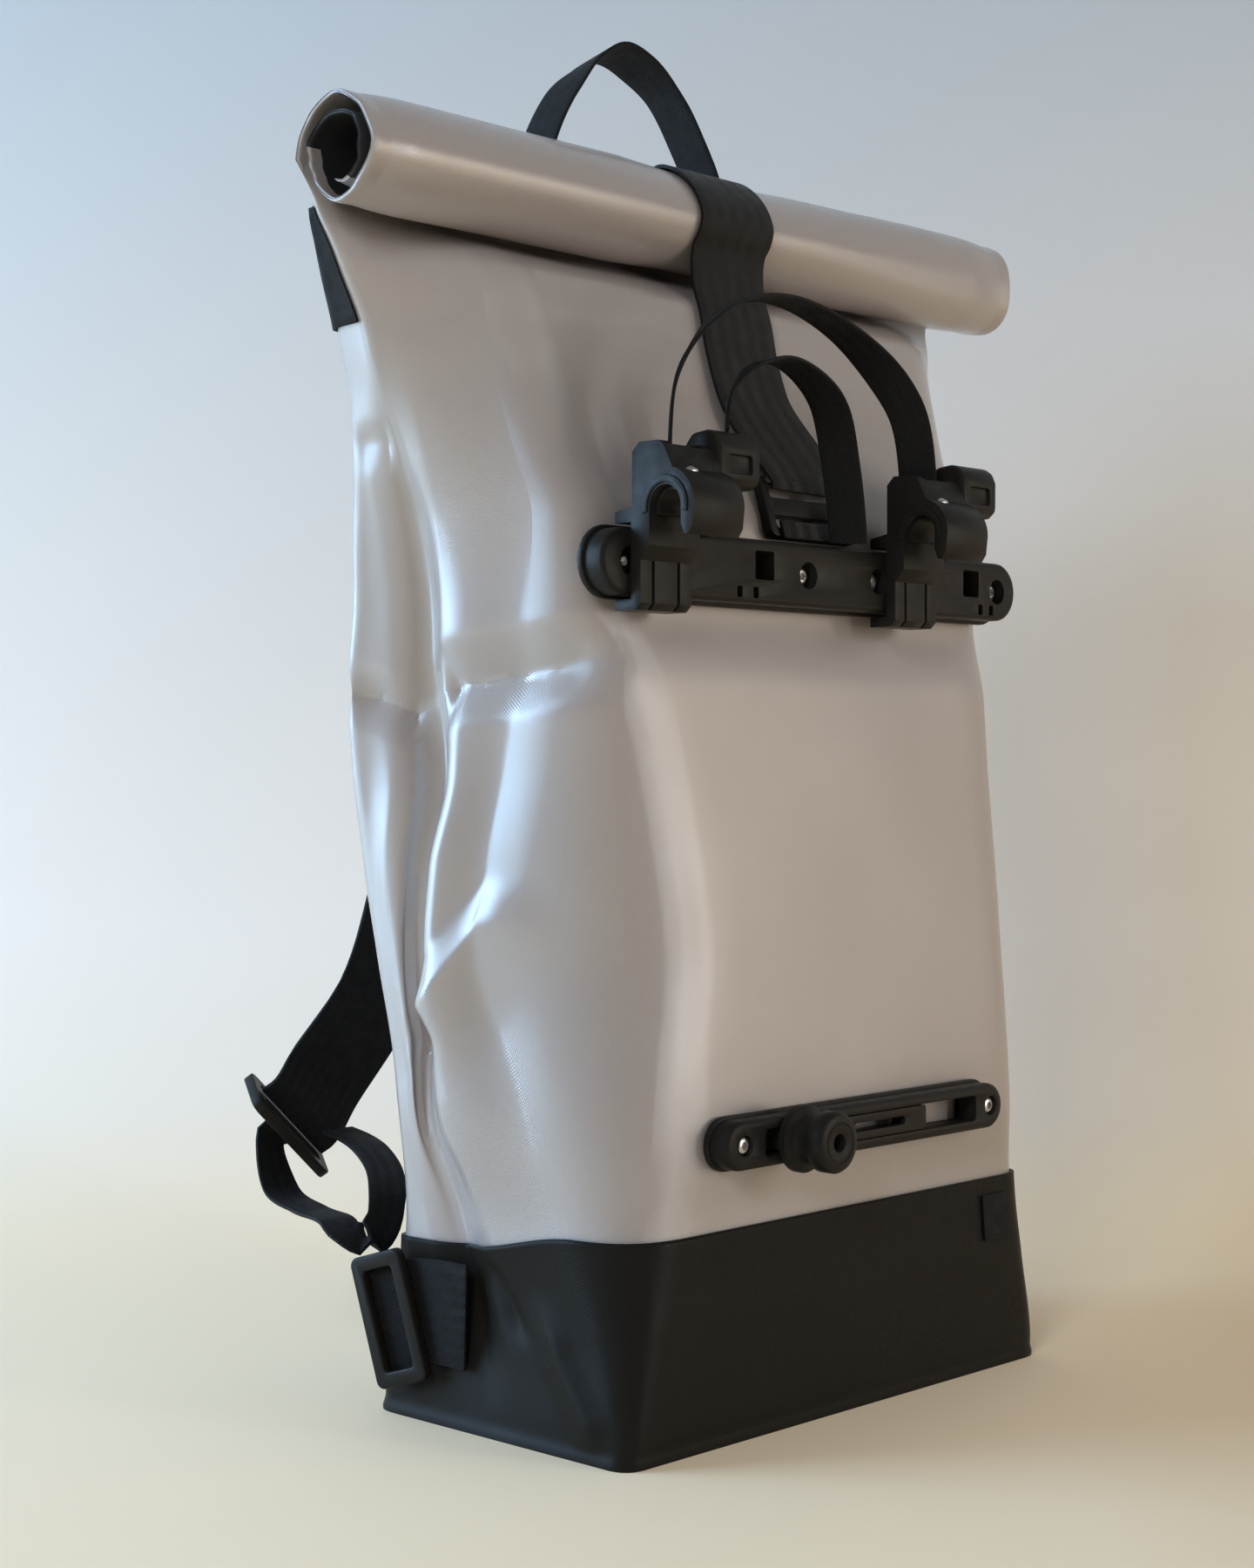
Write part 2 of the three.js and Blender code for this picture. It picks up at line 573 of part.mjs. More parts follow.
// The tall buckle at a back corner of the boot, and the webbing tab that ties it to the boot's side
function makeCornerBuckle(side, name) {
  const { width, height, depth, windowWidth, windowHeight, lean } = CORNER_BUCKLE;
  const middle = vec(side * 158.3, 59.4, 45.2);
  const level = vec(side * 0.15, 0.989, 0).normalize();
  const up = vec(0, 0, Math.cos(lean)).addScaledVector(level, Math.sin(lean));
  const wide = vec(0, 0, -Math.sin(lean)).addScaledVector(level, Math.cos(lean));
  const facing = wide.clone().cross(up);
  const shape = roundedRectangle(width, height, 4);
  shape.holes.push(rectangle(0, 0, windowWidth, windowHeight));
  const frame = new THREE.ExtrudeGeometry(shape, { depth, bevelEnabled: false, curveSegments: 3 });
  frame.translate(0, 0, -depth / 2);
  frame.applyMatrix4(new THREE.Matrix4().makeBasis(wide, up, facing));
  frame.translate(middle.x, middle.y, middle.z);
  addPiece(`corner_buckle_${name}`, frame, FINISHES.plastic);

  const inward = facing.clone().multiplyScalar(-side * Math.sign(facing.x));
  const behind = middle.clone().addScaledVector(inward, depth / 2 + GAP * 2 + WEB_THICKNESS / 2);
  const alongSide = vec(side * -0.05, 0, 1);
  const tab = [
    { at: vec(side * 149.1, 18, behind.z), wide: alongSide },
    { at: vec(side * 150.4, 33, behind.z), wide: alongSide },
    { at: behind.clone().addScaledVector(wide, -width / 2).addScaledVector(inward, 1.3), wide: up },
    { at: behind.clone(), wide: up },
    { at: behind.clone().addScaledVector(wide, width / 2 - 2), wide: up },
  ];
  addPiece(`corner_tab_${name}`, ribbon(tab, 42, 7), FINISHES.webbing);
}

function makeUpperRail() {
  const { length, height, depth, backY, z } = UPPER_RAIL;
  const floorDepth = 4;
  const screwX = [-133, -14, 38, 134];
  const screwRadius = 5;
  const windowX = [-45, 112];
  const pockets = screwX.map((x) => disc(x, z, screwRadius));
  pockets.push(...windowX.map((x) => rectangle(x, z + 3, 13, 13)));
  const bar = extrudeForward(stadium(0, z, length, height), backY, depth);
  const cutters = pockets.map((shape) => extrudeForward(shape, backY - floorDepth, depth));
  addPiece('upper_rail', cut(bar, ...cutters), FINISHES.plastic);
  screwX.forEach((x, index) => {
    const head = new THREE.CylinderGeometry(screwRadius - GAP, screwRadius - GAP, 4, 12);
    head.translate(x, backY - floorDepth - GAP - 2, z);
    addPiece(`upper_screw_${index + 1}`, head, FINISHES.steel);
  });
}

// Rack hook: its profile in (y, z) wraps the rail and ends in a jaw that is open below
function makeHook(x, name) {
  const railFront = UPPER_RAIL.backY - UPPER_RAIL.depth;
  const railTop = UPPER_RAIL.z + UPPER_RAIL.height / 2;
  const railBottom = UPPER_RAIL.z - UPPER_RAIL.height / 2;
  const jaw = { y: railFront - 20, z: railTop + 6, inner: 9, outer: 16.5 };
  const lipBack = railFront + 9;
  const plateFront = railFront - 6;
  const profile = new THREE.Shape();
  profile.moveTo(lipBack, railTop + GAP);
  profile.lineTo(lipBack, railTop + 5);
  profile.lineTo(railFront - 1, railTop + 7);
  profile.lineTo(railFront - 1, railTop + 35);
  profile.lineTo(jaw.y + 2, railTop + 35);
  profile.lineTo(jaw.y - 4, jaw.z + jaw.outer);
  profile.absarc(jaw.y, jaw.z, jaw.outer, THREE.MathUtils.degToRad(110), Math.PI);
  profile.lineTo(jaw.y - jaw.outer + 1.5, jaw.z - 10);
  profile.lineTo(jaw.y - jaw.inner - 1.5, jaw.z - 13);
  profile.absarc(jaw.y, jaw.z, jaw.inner, Math.PI, 0, true);
  profile.lineTo(jaw.y + jaw.inner, jaw.z - 16);
  profile.lineTo(plateFront, jaw.z - 22);
  profile.lineTo(plateFront, railBottom - 5);
  profile.lineTo(lipBack, railBottom - 5);
  profile.lineTo(lipBack, railBottom - GAP);
  profile.lineTo(railFront - GAP, railBottom - GAP);
  profile.lineTo(railFront - GAP, railTop + GAP);
  profile.closePath();
  const bodyFrom = x - HOOKS.bodyWidth / 2;
  addPiece(`hook_${name}`, extrudeAlongX(profile, bodyFrom, HOOKS.bodyWidth), FINISHES.plastic);

  const lever = polygon([
    [railFront + 4, railTop + GAP], [railFront + 4, railTop + 6], [railFront, railTop + 12],
    [railFront, railTop + 40], [railFront - 15, railTop + 42], [railFront - 22, railTop + 38],
    [railFront - 22, railTop + 19], [railFront - 10, railTop + 16], [railFront - 8.5, railTop + GAP],
  ].reverse());
  const leverFrom = bodyFrom + HOOKS.bodyWidth + GAP;
  addPiece(`hook_lever_${name}`, extrudeAlongX(lever, leverFrom, HOOKS.leverWidth), FINISHES.plastic);
}

// The arches that pull the hooks open, edge-on at their left legs and facing out at their right legs
function makePullStraps() {
  const width = 18;
  const upright = 6;
  const railTop = UPPER_RAIL.z + UPPER_RAIL.height / 2;
  const railFront = UPPER_RAIL.backY - UPPER_RAIL.depth;
  const leftWide = vec(0.72, 0.69, 0);
  const topWide = vec(0, 1, 0);
  const rightWide = vec(-0.72, 0.69, 0);
  const arch = (left, right, apex) => {
    const shoulderZ = (share, foot) => foot + (apex.z - foot) * share;
    const lerpX = (share) => left.x + (right.x - left.x) * share;
    return [
      { at: vec(left.x, left.y, left.z), wide: leftWide },
      { at: vec(left.x, left.y, left.z + upright), wide: leftWide },
      { at: vec(lerpX(0.03), left.y, shoulderZ(0.45, left.z)), wide: leftWide },
      { at: vec(lerpX(0.2), left.y, shoulderZ(0.85, left.z)), wide: leftWide.clone().lerp(topWide, 0.5) },
      { at: vec(apex.x, apex.y, apex.z), wide: topWide },
      { at: vec(lerpX(0.78), apex.y, shoulderZ(0.82, right.z)), wide: rightWide.clone().lerp(topWide, 0.5) },
      { at: vec(lerpX(0.95), right.y, shoulderZ(0.45, right.z)), wide: rightWide },
      { at: vec(right.x, right.y, right.z + upright), wide: rightWide },
      { at: vec(right.x, right.y, right.z), wide: rightWide },
    ];
  };
  const hookTop = railTop + 35 + GAP * 2;
  const leverTop = railTop + 42 + GAP * 2;
  const outer = arch(
    { x: HOOKS.leftX - 2, y: railFront - 10, z: hookTop },
    { x: HOOKS.rightX - 4, y: railFront - 10, z: hookTop },
    { x: -36, y: railFront - 4, z: 505 },
  );
  const inner = arch(
    { x: HOOKS.leftX + 36, y: railFront - 9, z: leverTop },
    { x: 15, y: railFront + 0.5, z: railTop + GAP * 2 },
    { x: -32, y: railFront - 4, z: 477 },
  );
  addPiece('pull_strap_outer', ribbon(outer, width, 24), FINISHES.webbing);
  addPiece('pull_strap_inner', ribbon(inner, width, 22), FINISHES.webbing);
}

function makeLowerRail() {
  const { length, height, depth, backY, z, centreX } = LOWER_RAIL;
  const frontY = backY - depth;
  const slotFrom = centreX - 76;
  const slotTo = centreX + 80;
  const slotHeight = 12;
  const screwX = [centreX - length / 2 + 14, centreX + length / 2 - 11];
  const screwRadius = 4.5;
  const openings = screwX.map((x) => disc(x, z, screwRadius));
  openings.push(rectangle((slotFrom + slotTo) / 2, z, slotTo - slotFrom, slotHeight));
  const bar = extrudeForward(stadium(centreX, z, length, height), backY, depth);
  const cutters = openings.map((shape) => extrudeForward(shape, backY + 1, depth + 2));
  addPiece('lower_rail', cut(bar, ...cutters), FINISHES.plastic);
  screwX.forEach((x, index) => {
    const head = new THREE.CylinderGeometry(screwRadius - GAP, screwRadius - GAP, depth - 3, 12);
    head.translate(x, (backY + frontY) / 2 + 1.5, z);
    addPiece(`lower_screw_${index + 1}`, head, FINISHES.steel);
  });

  const armClear = 0.4;
  const armFrom = KNOB.x - 10;
  const armTo = centreX + 40;
  const armDepth = 8;
  const arm = rectangle((armFrom + armTo) / 2, z, armTo - armFrom, slotHeight - armClear * 2);
  const armHoles = [stadium((armTo + KNOB.x + 28) / 2 - 2, z, 38, 4), disc(KNOB.x, z, 3.4)];
  const armCutters = armHoles.map((shape) => extrudeForward(shape, frontY + armDepth + 1, armDepth + 2));
  const armBar = extrudeForward(arm, frontY + armDepth, armDepth);
  addPiece('lower_hook_arm', cut(armBar, ...armCutters), FINISHES.plastic);

  const seatY = frontY - GAP;
  const spindleReach = armDepth - 1;
  const steps = [
    [0, spindleReach], [3, spindleReach], [3, 0], [KNOB.flangeRadius, 0], [KNOB.flangeRadius, -5],
    [KNOB.neckRadius, -6.5], [KNOB.neckRadius, -13], [KNOB.discRadius, -15], [KNOB.discRadius, -22],
    [KNOB.discRadius - 2, -23.5], [4, -23.5], [3, -18], [0, -18],
  ];
  const profile = steps.reverse().map(([radius, along]) => new THREE.Vector2(radius, along));
  const turned = new THREE.LatheGeometry(profile, 16);
  turned.translate(KNOB.x, seatY, z);
  addPiece('lower_hook_knob', turned, FINISHES.plastic);
}

function makeSideTag() {
  const { width, bottom, top, fromCorner, thickness } = SIDE_TAG;
  const face = (z) => sectionAt(z).frontY - GAP;
  const toX = sectionAt(top).frontX - fromCorner;
  const fromX = toX - width;
  const ring = (z) => [
    vec(fromX, face(z), z), vec(fromX, face(z) - thickness, z),
    vec(toX, face(z) - thickness, z), vec(toX, face(z), z),
  ];
  addPiece('side_tag', loft([ring(bottom), ring(top)]), FINISHES.webbing);
}

makeTarpBody();
makeBoot();
makeBackBand();
makeClosure();
makeCarryHandle();
makeHarness(-1, 'left');
makeHarness(1, 'right');
makeUpperRail();
makeHook(HOOKS.leftX, 'left');
makeHook(HOOKS.rightX, 'right');
makePullStraps();
makeLowerRail();
makeSideTag();

export default model;
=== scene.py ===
"""Dresses the roll-top cycling backpack: coated tarpaulin, webbing, moulded rack hooks and steel screws.

Sizes are millimetres in the bag's own frame, with +Z up and the rack side facing -Y. MM turns them into
metres where a mesh is written.
"""

from __future__ import annotations

import logging
import math
from dataclasses import astuple, dataclass, field
from enum import Enum
from typing import Callable, Iterable, Sequence

import bmesh
import bpy
from mathutils import Matrix, Vector, noise

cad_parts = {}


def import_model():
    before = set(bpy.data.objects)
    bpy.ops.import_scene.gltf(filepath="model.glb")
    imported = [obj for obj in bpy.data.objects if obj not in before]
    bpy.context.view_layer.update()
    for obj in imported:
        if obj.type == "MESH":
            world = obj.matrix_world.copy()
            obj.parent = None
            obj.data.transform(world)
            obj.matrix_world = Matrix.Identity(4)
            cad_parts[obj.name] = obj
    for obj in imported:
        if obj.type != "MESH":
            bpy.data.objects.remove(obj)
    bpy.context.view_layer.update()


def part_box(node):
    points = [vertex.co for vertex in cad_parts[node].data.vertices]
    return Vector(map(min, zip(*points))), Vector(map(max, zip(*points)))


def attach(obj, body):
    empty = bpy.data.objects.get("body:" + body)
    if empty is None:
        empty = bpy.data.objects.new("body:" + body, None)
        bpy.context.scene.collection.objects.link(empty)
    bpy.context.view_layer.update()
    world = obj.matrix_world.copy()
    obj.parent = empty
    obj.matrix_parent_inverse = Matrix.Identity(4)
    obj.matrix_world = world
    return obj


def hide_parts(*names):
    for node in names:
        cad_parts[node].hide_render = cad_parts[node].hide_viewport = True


LOG = logging.getLogger("backpack")
MM = 0.001
WELD = 0.01
FLAT_MAP = "flat"
SHARP_ANGLE = math.radians(42.0)
DOME = ((1, 0), (0.93, 0.45), (0.75, 0.8))
SOCKET_LIP = 0.2
HEAD_STEPS = 32
WELL_STEPS = 30
ACROSS = Vector((1, 0, 0))
BACKWARD = Vector((0, 1, 0))
UPWARD = Vector((0, 0, 1))

Colour = tuple[float, float, float, float]
Socket = bpy.types.NodeSocket
Feed = Socket | float | Colour
Mesh = bmesh.types.BMesh
Flat = tuple[float, float]
Triple = tuple[float, float, float]


class Body(Enum):
    """The bodies of the frame that pieces ride on."""

    BAG = "bag"
    ARM = "lower_arm"
    KNOB = "lower_knob"


class Slot(Enum):
    """The names of the backpack's material slots."""

    TARP = "tarp"
    BOOT = "boot"
    WEBBING = "webbing"
    PLASTIC = "plastic"
    STEEL = "steel"


class Side(Enum):
    """The bag's two sides, as the sign of X."""

    LEFT = -1
    RIGHT = 1

    @property
    def word(self) -> str:
        """The side's name as the nodes write it."""
        return self.name.lower()


def painted(red: int, green: int, blue: int) -> Colour:
    """Turns a colour as a screen shows it into the linear one that a shader takes.

    Args:
        red: Red from 0 to 255.
        green: Green from 0 to 255.
        blue: Blue from 0 to 255.

    Returns:
        The linear colour with full alpha.
    """
    parts = [channel / 255 for channel in (red, green, blue)]
    linear = [part / 12.92 if part <= 0.04045 else ((part + 0.055) / 1.055) ** 2.4 for part in parts]
    return (*linear, 1.0)


def smooth_step(value: float) -> float:
    """Eases a share of 0 to 1, with level ends, and holds it outside that range."""
    share = min(1.0, max(0.0, value))
    return share * share * (3 - 2 * share)


class NodeBoard:
    """A material's node tree, with short calls for the nodes that the finishes share."""

    MIX_INPUTS = (0, 6, 7)
    MIX_OUT = 2

    def __init__(self, name: str) -> None:
        """Starts a material with its own shader.

        Args:
            name: The material's name.
        """
        self.material = bpy.data.materials.new(name)
        self.material.use_nodes = True
        self.tree = self.material.node_tree
        self.shader = self.tree.nodes["Principled BSDF"]

    def feed(self, node: bpy.types.Node, inputs: dict[str | int, Feed]) -> None:
        """Links sockets into a node's inputs, or sets plain values on them.

        Args:
            node: The node.
            inputs: The socket or the value of each input, by its name or number.
        """
        for key, value in inputs.items():
            if isinstance(value, bpy.types.NodeSocket):
                self.tree.links.new(value, node.inputs[key])
            else:
                node.inputs[key].default_value = value

    def node(self, kind: str, inputs: dict[str | int, Feed], **settings: object) -> bpy.types.Node:
        """Adds a node.

        Args:
            kind: The node's type.
            inputs: What feeds its inputs.
            settings: Its properties.

        Returns:
            The node.
        """
        node = self.tree.nodes.new(kind)
        for key, value in settings.items():
            setattr(node, key, value)
        self.feed(node, inputs)
        return node

    def finish(self, inputs: dict[str | int, Feed]) -> bpy.types.Material:
        """Feeds the shader and gives the material."""
        self.feed(self.shader, inputs)
        return self.material

    def math(self, operation: str, first: Feed, second: Feed = 0.0) -> Socket:
        """Gives the result of a Math node on two values."""
        return self.node("ShaderNodeMath", {0: first, 1: second}, operation=operation).outputs[0]

    def object_place(self) -> Socket:
        """Gives the Object coordinates."""
        return self.node("ShaderNodeTexCoord", {}).outputs["Object"]

    def parts(self, vector: Socket) -> Sequence[Socket]:
        """Gives the three parts of a vector."""
        return self.node("ShaderNodeSeparateXYZ", {0: vector}).outputs

    def flat_place(self) -> Sequence[Socket]:
        """Gives the two coordinates of the cloth's flat map, in metres."""
        return self.parts(self.node("ShaderNodeUVMap", {}, uv_map=FLAT_MAP).outputs["UV"])[:2]

    def wave(self, place: Socket, pitch: float) -> Socket:
        """Gives a sine of a place along the cloth, with a pitch in millimetres."""
        return self.math("SINE", self.math("MULTIPLY", place, 2 * math.pi / (pitch * MM)))

    def cloud(self, place: Socket, scale: float, detail: float = 2.0) -> Socket:
        """Gives a soft noise of 0 to 1."""
        inputs = {"Vector": place, "Scale": scale, "Detail": detail}
        return self.node("ShaderNodeTexNoise", inputs).outputs["Fac"]

    def spread(self, value: Socket, bounds: Flat, limits: Flat = (0.3, 0.7)) -> Socket:
        """Maps a value between limits, which are those of a noise if none are given, onto new bounds."""
        numbers = zip(("From Min", "From Max", "To Min", "To Max"), (*limits, *bounds))
        return self.node("ShaderNodeMapRange", {"Value": value, **dict(numbers)}).outputs[0]

    def tint(self, share: Socket, first: Feed, second: Colour, blend: str = "MIX") -> Socket:
        """Lays a second colour on a first one, by a share."""
        inputs = dict(zip(self.MIX_INPUTS, (share, first, second)))
        return self.node("ShaderNodeMix", inputs, data_type="RGBA", blend_type=blend).outputs[self.MIX_OUT]

    def bump(self, height: Socket, depth: float, under: Socket | None = None) -> Socket:
        """Adds a bump to the surface.

        Args:
            height: The relief.
            depth: How deep it is, in millimetres.
            under: The normal of a bump that it lies over.

        Returns:
            The normal.
        """
        inputs = {"Height": height, "Distance": depth * MM}
        if under is not None:
            inputs["Normal"] = under
        return self.node("ShaderNodeBump", inputs).outputs["Normal"]


@dataclass(frozen=True)
class CoatedCloth:
    """A woven cloth under a glossy plastic coat, whose weave shows through in the highlights."""

    name: str
    cool: Colour
    warm: Colour
    weave_pitch: float
    weave_depth: float
    gloss: Flat
    wobble_depth: float
    shine: float = 0.5
    coat: float = 0.0
    coat_roughness: float = 0.08
    coat_ior: float = 1.8
    wobble_scale: float = 38.0
    tint_scale: float = 7.0
    gloss_scale: float = 55.0
    gloss_detail: float = 4.0

    def make(self) -> bpy.types.Material:
        """Builds the material.

        Returns:
            The material.
        """
        board = NodeBoard(self.name)
        place = board.object_place()
        threads = [board.wave(along, self.weave_pitch) for along in board.flat_place()]
        wobble = board.bump(board.cloud(place, self.wobble_scale), self.wobble_depth)
        relief = board.bump(board.math("MULTIPLY", *threads), self.weave_depth, wobble)
        gloss = board.cloud(place, self.gloss_scale, self.gloss_detail)
        return board.finish({
            "Normal": relief,
            "Coat Normal": relief,
            "Base Color": board.tint(board.cloud(place, self.tint_scale), self.cool, self.warm),
            "Roughness": board.spread(gloss, self.gloss),
            "Specular IOR Level": self.shine,
            "Coat Weight": self.coat,
            "Coat Roughness": self.coat_roughness,
            "Coat IOR": self.coat_ior,
        })


@dataclass(frozen=True)
class WovenWebbing:
    """Black nylon webbing in a herringbone weave, with rows that run across the strap.

    The yarn's pitch and height are shares of the rows'.
    """

    name: str
    dark: Colour
    pale: Colour
    row_pitch: float
    band: float
    depth: float
    gloss: Flat
    yarn_pitch: float = 0.8
    yarn_height: float = 0.4
    fuzz_scale: float = 900.0
    fuzz_depth: float = 0.05
    gloss_scale: float = 120.0
    shine: float = 0.18
    sheen: float = 0.02

    def make(self) -> bpy.types.Material:
        """Builds the material.

        Returns:
            The material.
        """
        board = NodeBoard(self.name)
        place = board.object_place()
        across, along = board.flat_place()
        zigzag = board.math("PINGPONG", across, self.band * MM)
        rows = board.wave(board.math("ADD", along, zigzag), self.row_pitch)
        yarn = board.wave(across, self.row_pitch * self.yarn_pitch)
        relief = board.math("ADD", rows, board.math("MULTIPLY", yarn, self.yarn_height))
        fuzz = board.bump(board.cloud(place, self.fuzz_scale), self.fuzz_depth)
        share = board.spread(rows, (0.0, 1.0), (-1.0, 1.0))
        return board.finish({
            "Normal": board.bump(relief, self.depth, fuzz),
            "Base Color": board.tint(share, self.dark, self.pale),
            "Roughness": board.spread(board.cloud(place, self.gloss_scale), self.gloss),
            "Specular IOR Level": self.shine,
            "Sheen Weight": self.sheen,
        })


@dataclass(frozen=True)
class MouldedPlastic:
    """Glass-filled black plastic with a fine spark-eroded grain."""

    name: str
    dark: Colour
    pale: Colour
    grain: float
    grain_depth: float
    gloss: Flat
    grain_detail: float = 3.0
    tint_scale: float = 40.0
    gloss_scale: float = 160.0
    shine: float = 0.14

    def make(self) -> bpy.types.Material:
        """Builds the material.

        Returns:
            The material.
        """
        board = NodeBoard(self.name)
        place = board.object_place()
        grain = board.cloud(place, self.grain, self.grain_detail)
        return board.finish({
            "Normal": board.bump(grain, self.grain_depth),
            "Base Color": board.tint(board.cloud(place, self.tint_scale), self.dark, self.pale),
            "Roughness": board.spread(board.cloud(place, self.gloss_scale), self.gloss),
            "Specular IOR Level": self.shine,
        })


@dataclass(frozen=True)
class BrightSteel:
    """Turned stainless steel with slight smears."""

    name: str
    colour: Colour
    gloss: Flat
    smear_scale: float = 400.0
    smear_detail: float = 3.0
    smear_depth: float = 0.02

    def make(self) -> bpy.types.Material:
        """Builds the material.

        Returns:
            The material.
        """
        board = NodeBoard(self.name)
        smear = board.cloud(board.object_place(), self.smear_scale, self.smear_detail)
        return board.finish({
            "Base Color": self.colour,
            "Metallic": 1.0,
            "Roughness": board.spread(smear, self.gloss),
            "Normal": board.bump(smear, self.smear_depth),
        })


@dataclass(frozen=True)
class StagePaint:
    """Studio paint: cream floor, a painted fall-off of light up the wall, and a painted bag shadow low on one
    side.
    """

    name: str
    stops: tuple[tuple[float, Colour], ...]
    shade: Colour
    right: Triple
    shade_across: Flat
    shade_height: Flat
    roughness: float = 0.75

    def make(self) -> bpy.types.Material:
        """Builds the material.

        Returns:
            The material.
        """
        board = NodeBoard(self.name)
        place = board.object_place()
        height = board.parts(place)["Z"]
        across = board.node("ShaderNodeVectorMath", {0: place, 1: self.right}, operation="DOT_PRODUCT")
        # Painted shadow of the bag, low on the right of the wall and floor.
        shaded = board.math(
            "MULTIPLY",
            board.spread(across.outputs["Value"], (0.0, 1.0), self.shade_across),
            board.spread(height, (1.0, 0.0), self.shade_height),
        )
        # The ramp paints the floor's cream, then a painted fall-off of light that turns darker and bluer up
        # the wall.
        ramp = board.node("ShaderNodeValToRGB", {"Fac": height})
        elements = ramp.color_ramp.elements
        while len(elements) < len(self.stops):
            elements.new(0.5)
        for element, (level, colour) in zip(elements, self.stops):
            element.position = level
            element.color = colour
        tone = board.tint(shaded, ramp.outputs["Color"], self.shade, "MULTIPLY")
        return board.finish({"Base Color": tone, "Roughness": self.roughness})


class Finishes:
    """Every finish of the backpack, made once."""

    def __init__(self) -> None:
        """Makes the materials."""
        self.tarp = CoatedCloth(
            "pale_tarp", painted(153, 145, 144), painted(159, 149, 143), weave_pitch=1.25, weave_depth=0.03,
            gloss=(0.34, 0.46), wobble_depth=0.2, shine=0.45, coat=0.9,
        ).make()
        # Painted shade: a dark copy of the tarp for the roll's inner turns, which lie deep in shadow.
        self.tarp_inside = CoatedCloth(
            "tarp_inside", painted(30, 29, 31), painted(38, 36, 36), weave_pitch=1.25, weave_depth=0.05,
            gloss=(0.5, 0.65), wobble_depth=0.1,
        ).make()
        self.boot = CoatedCloth(
            "black_boot", painted(27, 26, 24), painted(32, 30, 27), weave_pitch=1.1, weave_depth=0.03,
            gloss=(0.26, 0.38), wobble_depth=0.3, shine=0.06,
        ).make()
        self.webbing = WovenWebbing(
            "black_webbing", painted(12, 12, 13), painted(22, 22, 23), row_pitch=1.3, band=3.0, depth=0.12,
            gloss=(0.6, 0.75),
        ).make()
        self.belt = WovenWebbing(
            "belt_webbing", painted(18, 17, 16), painted(26, 25, 23), row_pitch=1.1, band=5.0, depth=0.08,
            gloss=(0.4, 0.5),
        ).make()
        self.plastic = MouldedPlastic(
            "black_plastic", painted(25, 24, 22), painted(34, 32, 29), grain=2600.0, grain_depth=0.03,
            gloss=(0.36, 0.48),
        ).make()
        self.steel = BrightSteel("screw_steel", painted(205, 206, 208), gloss=(0.2, 0.34)).make()


def publish(
    name: str,
    form: Mesh,
    finishes: Sequence[bpy.types.Material],
    stands_for: Sequence[str] = (),
    body: Body = Body.BAG,
) -> bpy.types.Object:
    """Writes a form to an object of the scene, finishes it and ties it to its body.

    Args:
        name: The piece's name.
        form: The mesh, in metres, which is freed.
        finishes: The materials of its slots in order.
        stands_for: The CAD nodes that the piece replaces.
        body: The body that it rides on.

    Returns:
        The object.
    """
    mesh = bpy.data.meshes.new(name)
    form.to_mesh(mesh)
    form.free()
    mesh.shade_smooth()
    mesh.set_sharp_from_angle(angle=SHARP_ANGLE)
    for finish in finishes:
        mesh.materials.append(finish)
    piece = bpy.data.objects.new(name, mesh)
    bpy.context.collection.objects.link(piece)
    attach(piece, body.value)
    if stands_for:
        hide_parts(*stands_for)
    LOG.info("%s: %d faces on %s", name, len(mesh.polygons), body.value)
    return piece


def mould(name: str, form: Mesh, finishes: Finishes, node: str, body: Body = Body.BAG) -> None:
    """Publishes a plastic piece that was shaped in millimetres, in the place of its CAD node."""
    publish(name, to_metres(form), (finishes.plastic,), (node,), body)


def thicken(piece: bpy.types.Object, wall: float, offset: float) -> None:
    """Gives a sheet its thickness.

    Args:
        piece: The sheet's object.
        wall: The thickness in millimetres.
        offset: -1 for a wall that grows inwards, 0 for one on both sides, 1 for one that grows outwards.
    """
    wall_maker = piece.modifiers.new("wall", "SOLIDIFY")
    wall_maker.thickness = wall * MM
    wall_maker.offset = offset
    wall_maker.use_even_offset = True
    wall_maker.thickness_clamp = 1.0


def cloth_grid(
    columns: int,
    rows: int,
    place: Callable[[int, int], Vector],
    lay: Callable[[int, int], Flat],
) -> Mesh:
    """Shapes a flat grid into cloth, and keeps its flat place in a UV map.

    Args:
        columns: The number of cells across.
        rows: The number of cells along.
        place: Gives the shaped place of a column and row, in millimetres.
        lay: Gives the flat place of a column and row, in millimetres.

    Returns:
        The mesh, in metres.
    """
    form = bmesh.new()
    flat_map = form.loops.layers.uv.new(FLAT_MAP)
    bmesh.ops.create_grid(form, x_segments=columns, y_segments=rows, size=1.0, calc_uvs=True)
    for face in form.faces:
        for corner in face.loops:
            share = corner[flat_map].uv
            corner[flat_map].uv = Vector(lay(round(share.x * columns), round(share.y * rows))) * MM
    for vert in form.verts:
        column = round((vert.co.x + 1) / 2 * columns)
        row = round((vert.co.y + 1) / 2 * rows)
        vert.co = place(column, row) * MM
    return form


def point(x: float, y: float, z: float) -> Vector:
    """Gives a point in millimetres."""
    return Vector((x, y, z))


def arc(centre: Flat, radius: float, start: float, stop: float, steps: int) -> list[Flat]:
    """Gives the points of an arc between two angles in degrees, ends included."""
    angles = [math.radians(start + (stop - start) * step / steps) for step in range(steps + 1)]
    return [(centre[0] + radius * math.cos(angle), centre[1] + radius * math.sin(angle)) for angle in angles]


def circle(centre: Flat, radius: float, steps: int) -> list[Flat]:
    """Gives the corners of a circle drawn in even steps."""
    return arc(centre, radius, 0, 360 - 360 / steps, steps - 1)


def shifted(points: Iterable[Flat], origin: Flat) -> list[Flat]:
    """Moves flat points to start from an origin."""
    return [(origin[0] + x, origin[1] + y) for x, y in points]


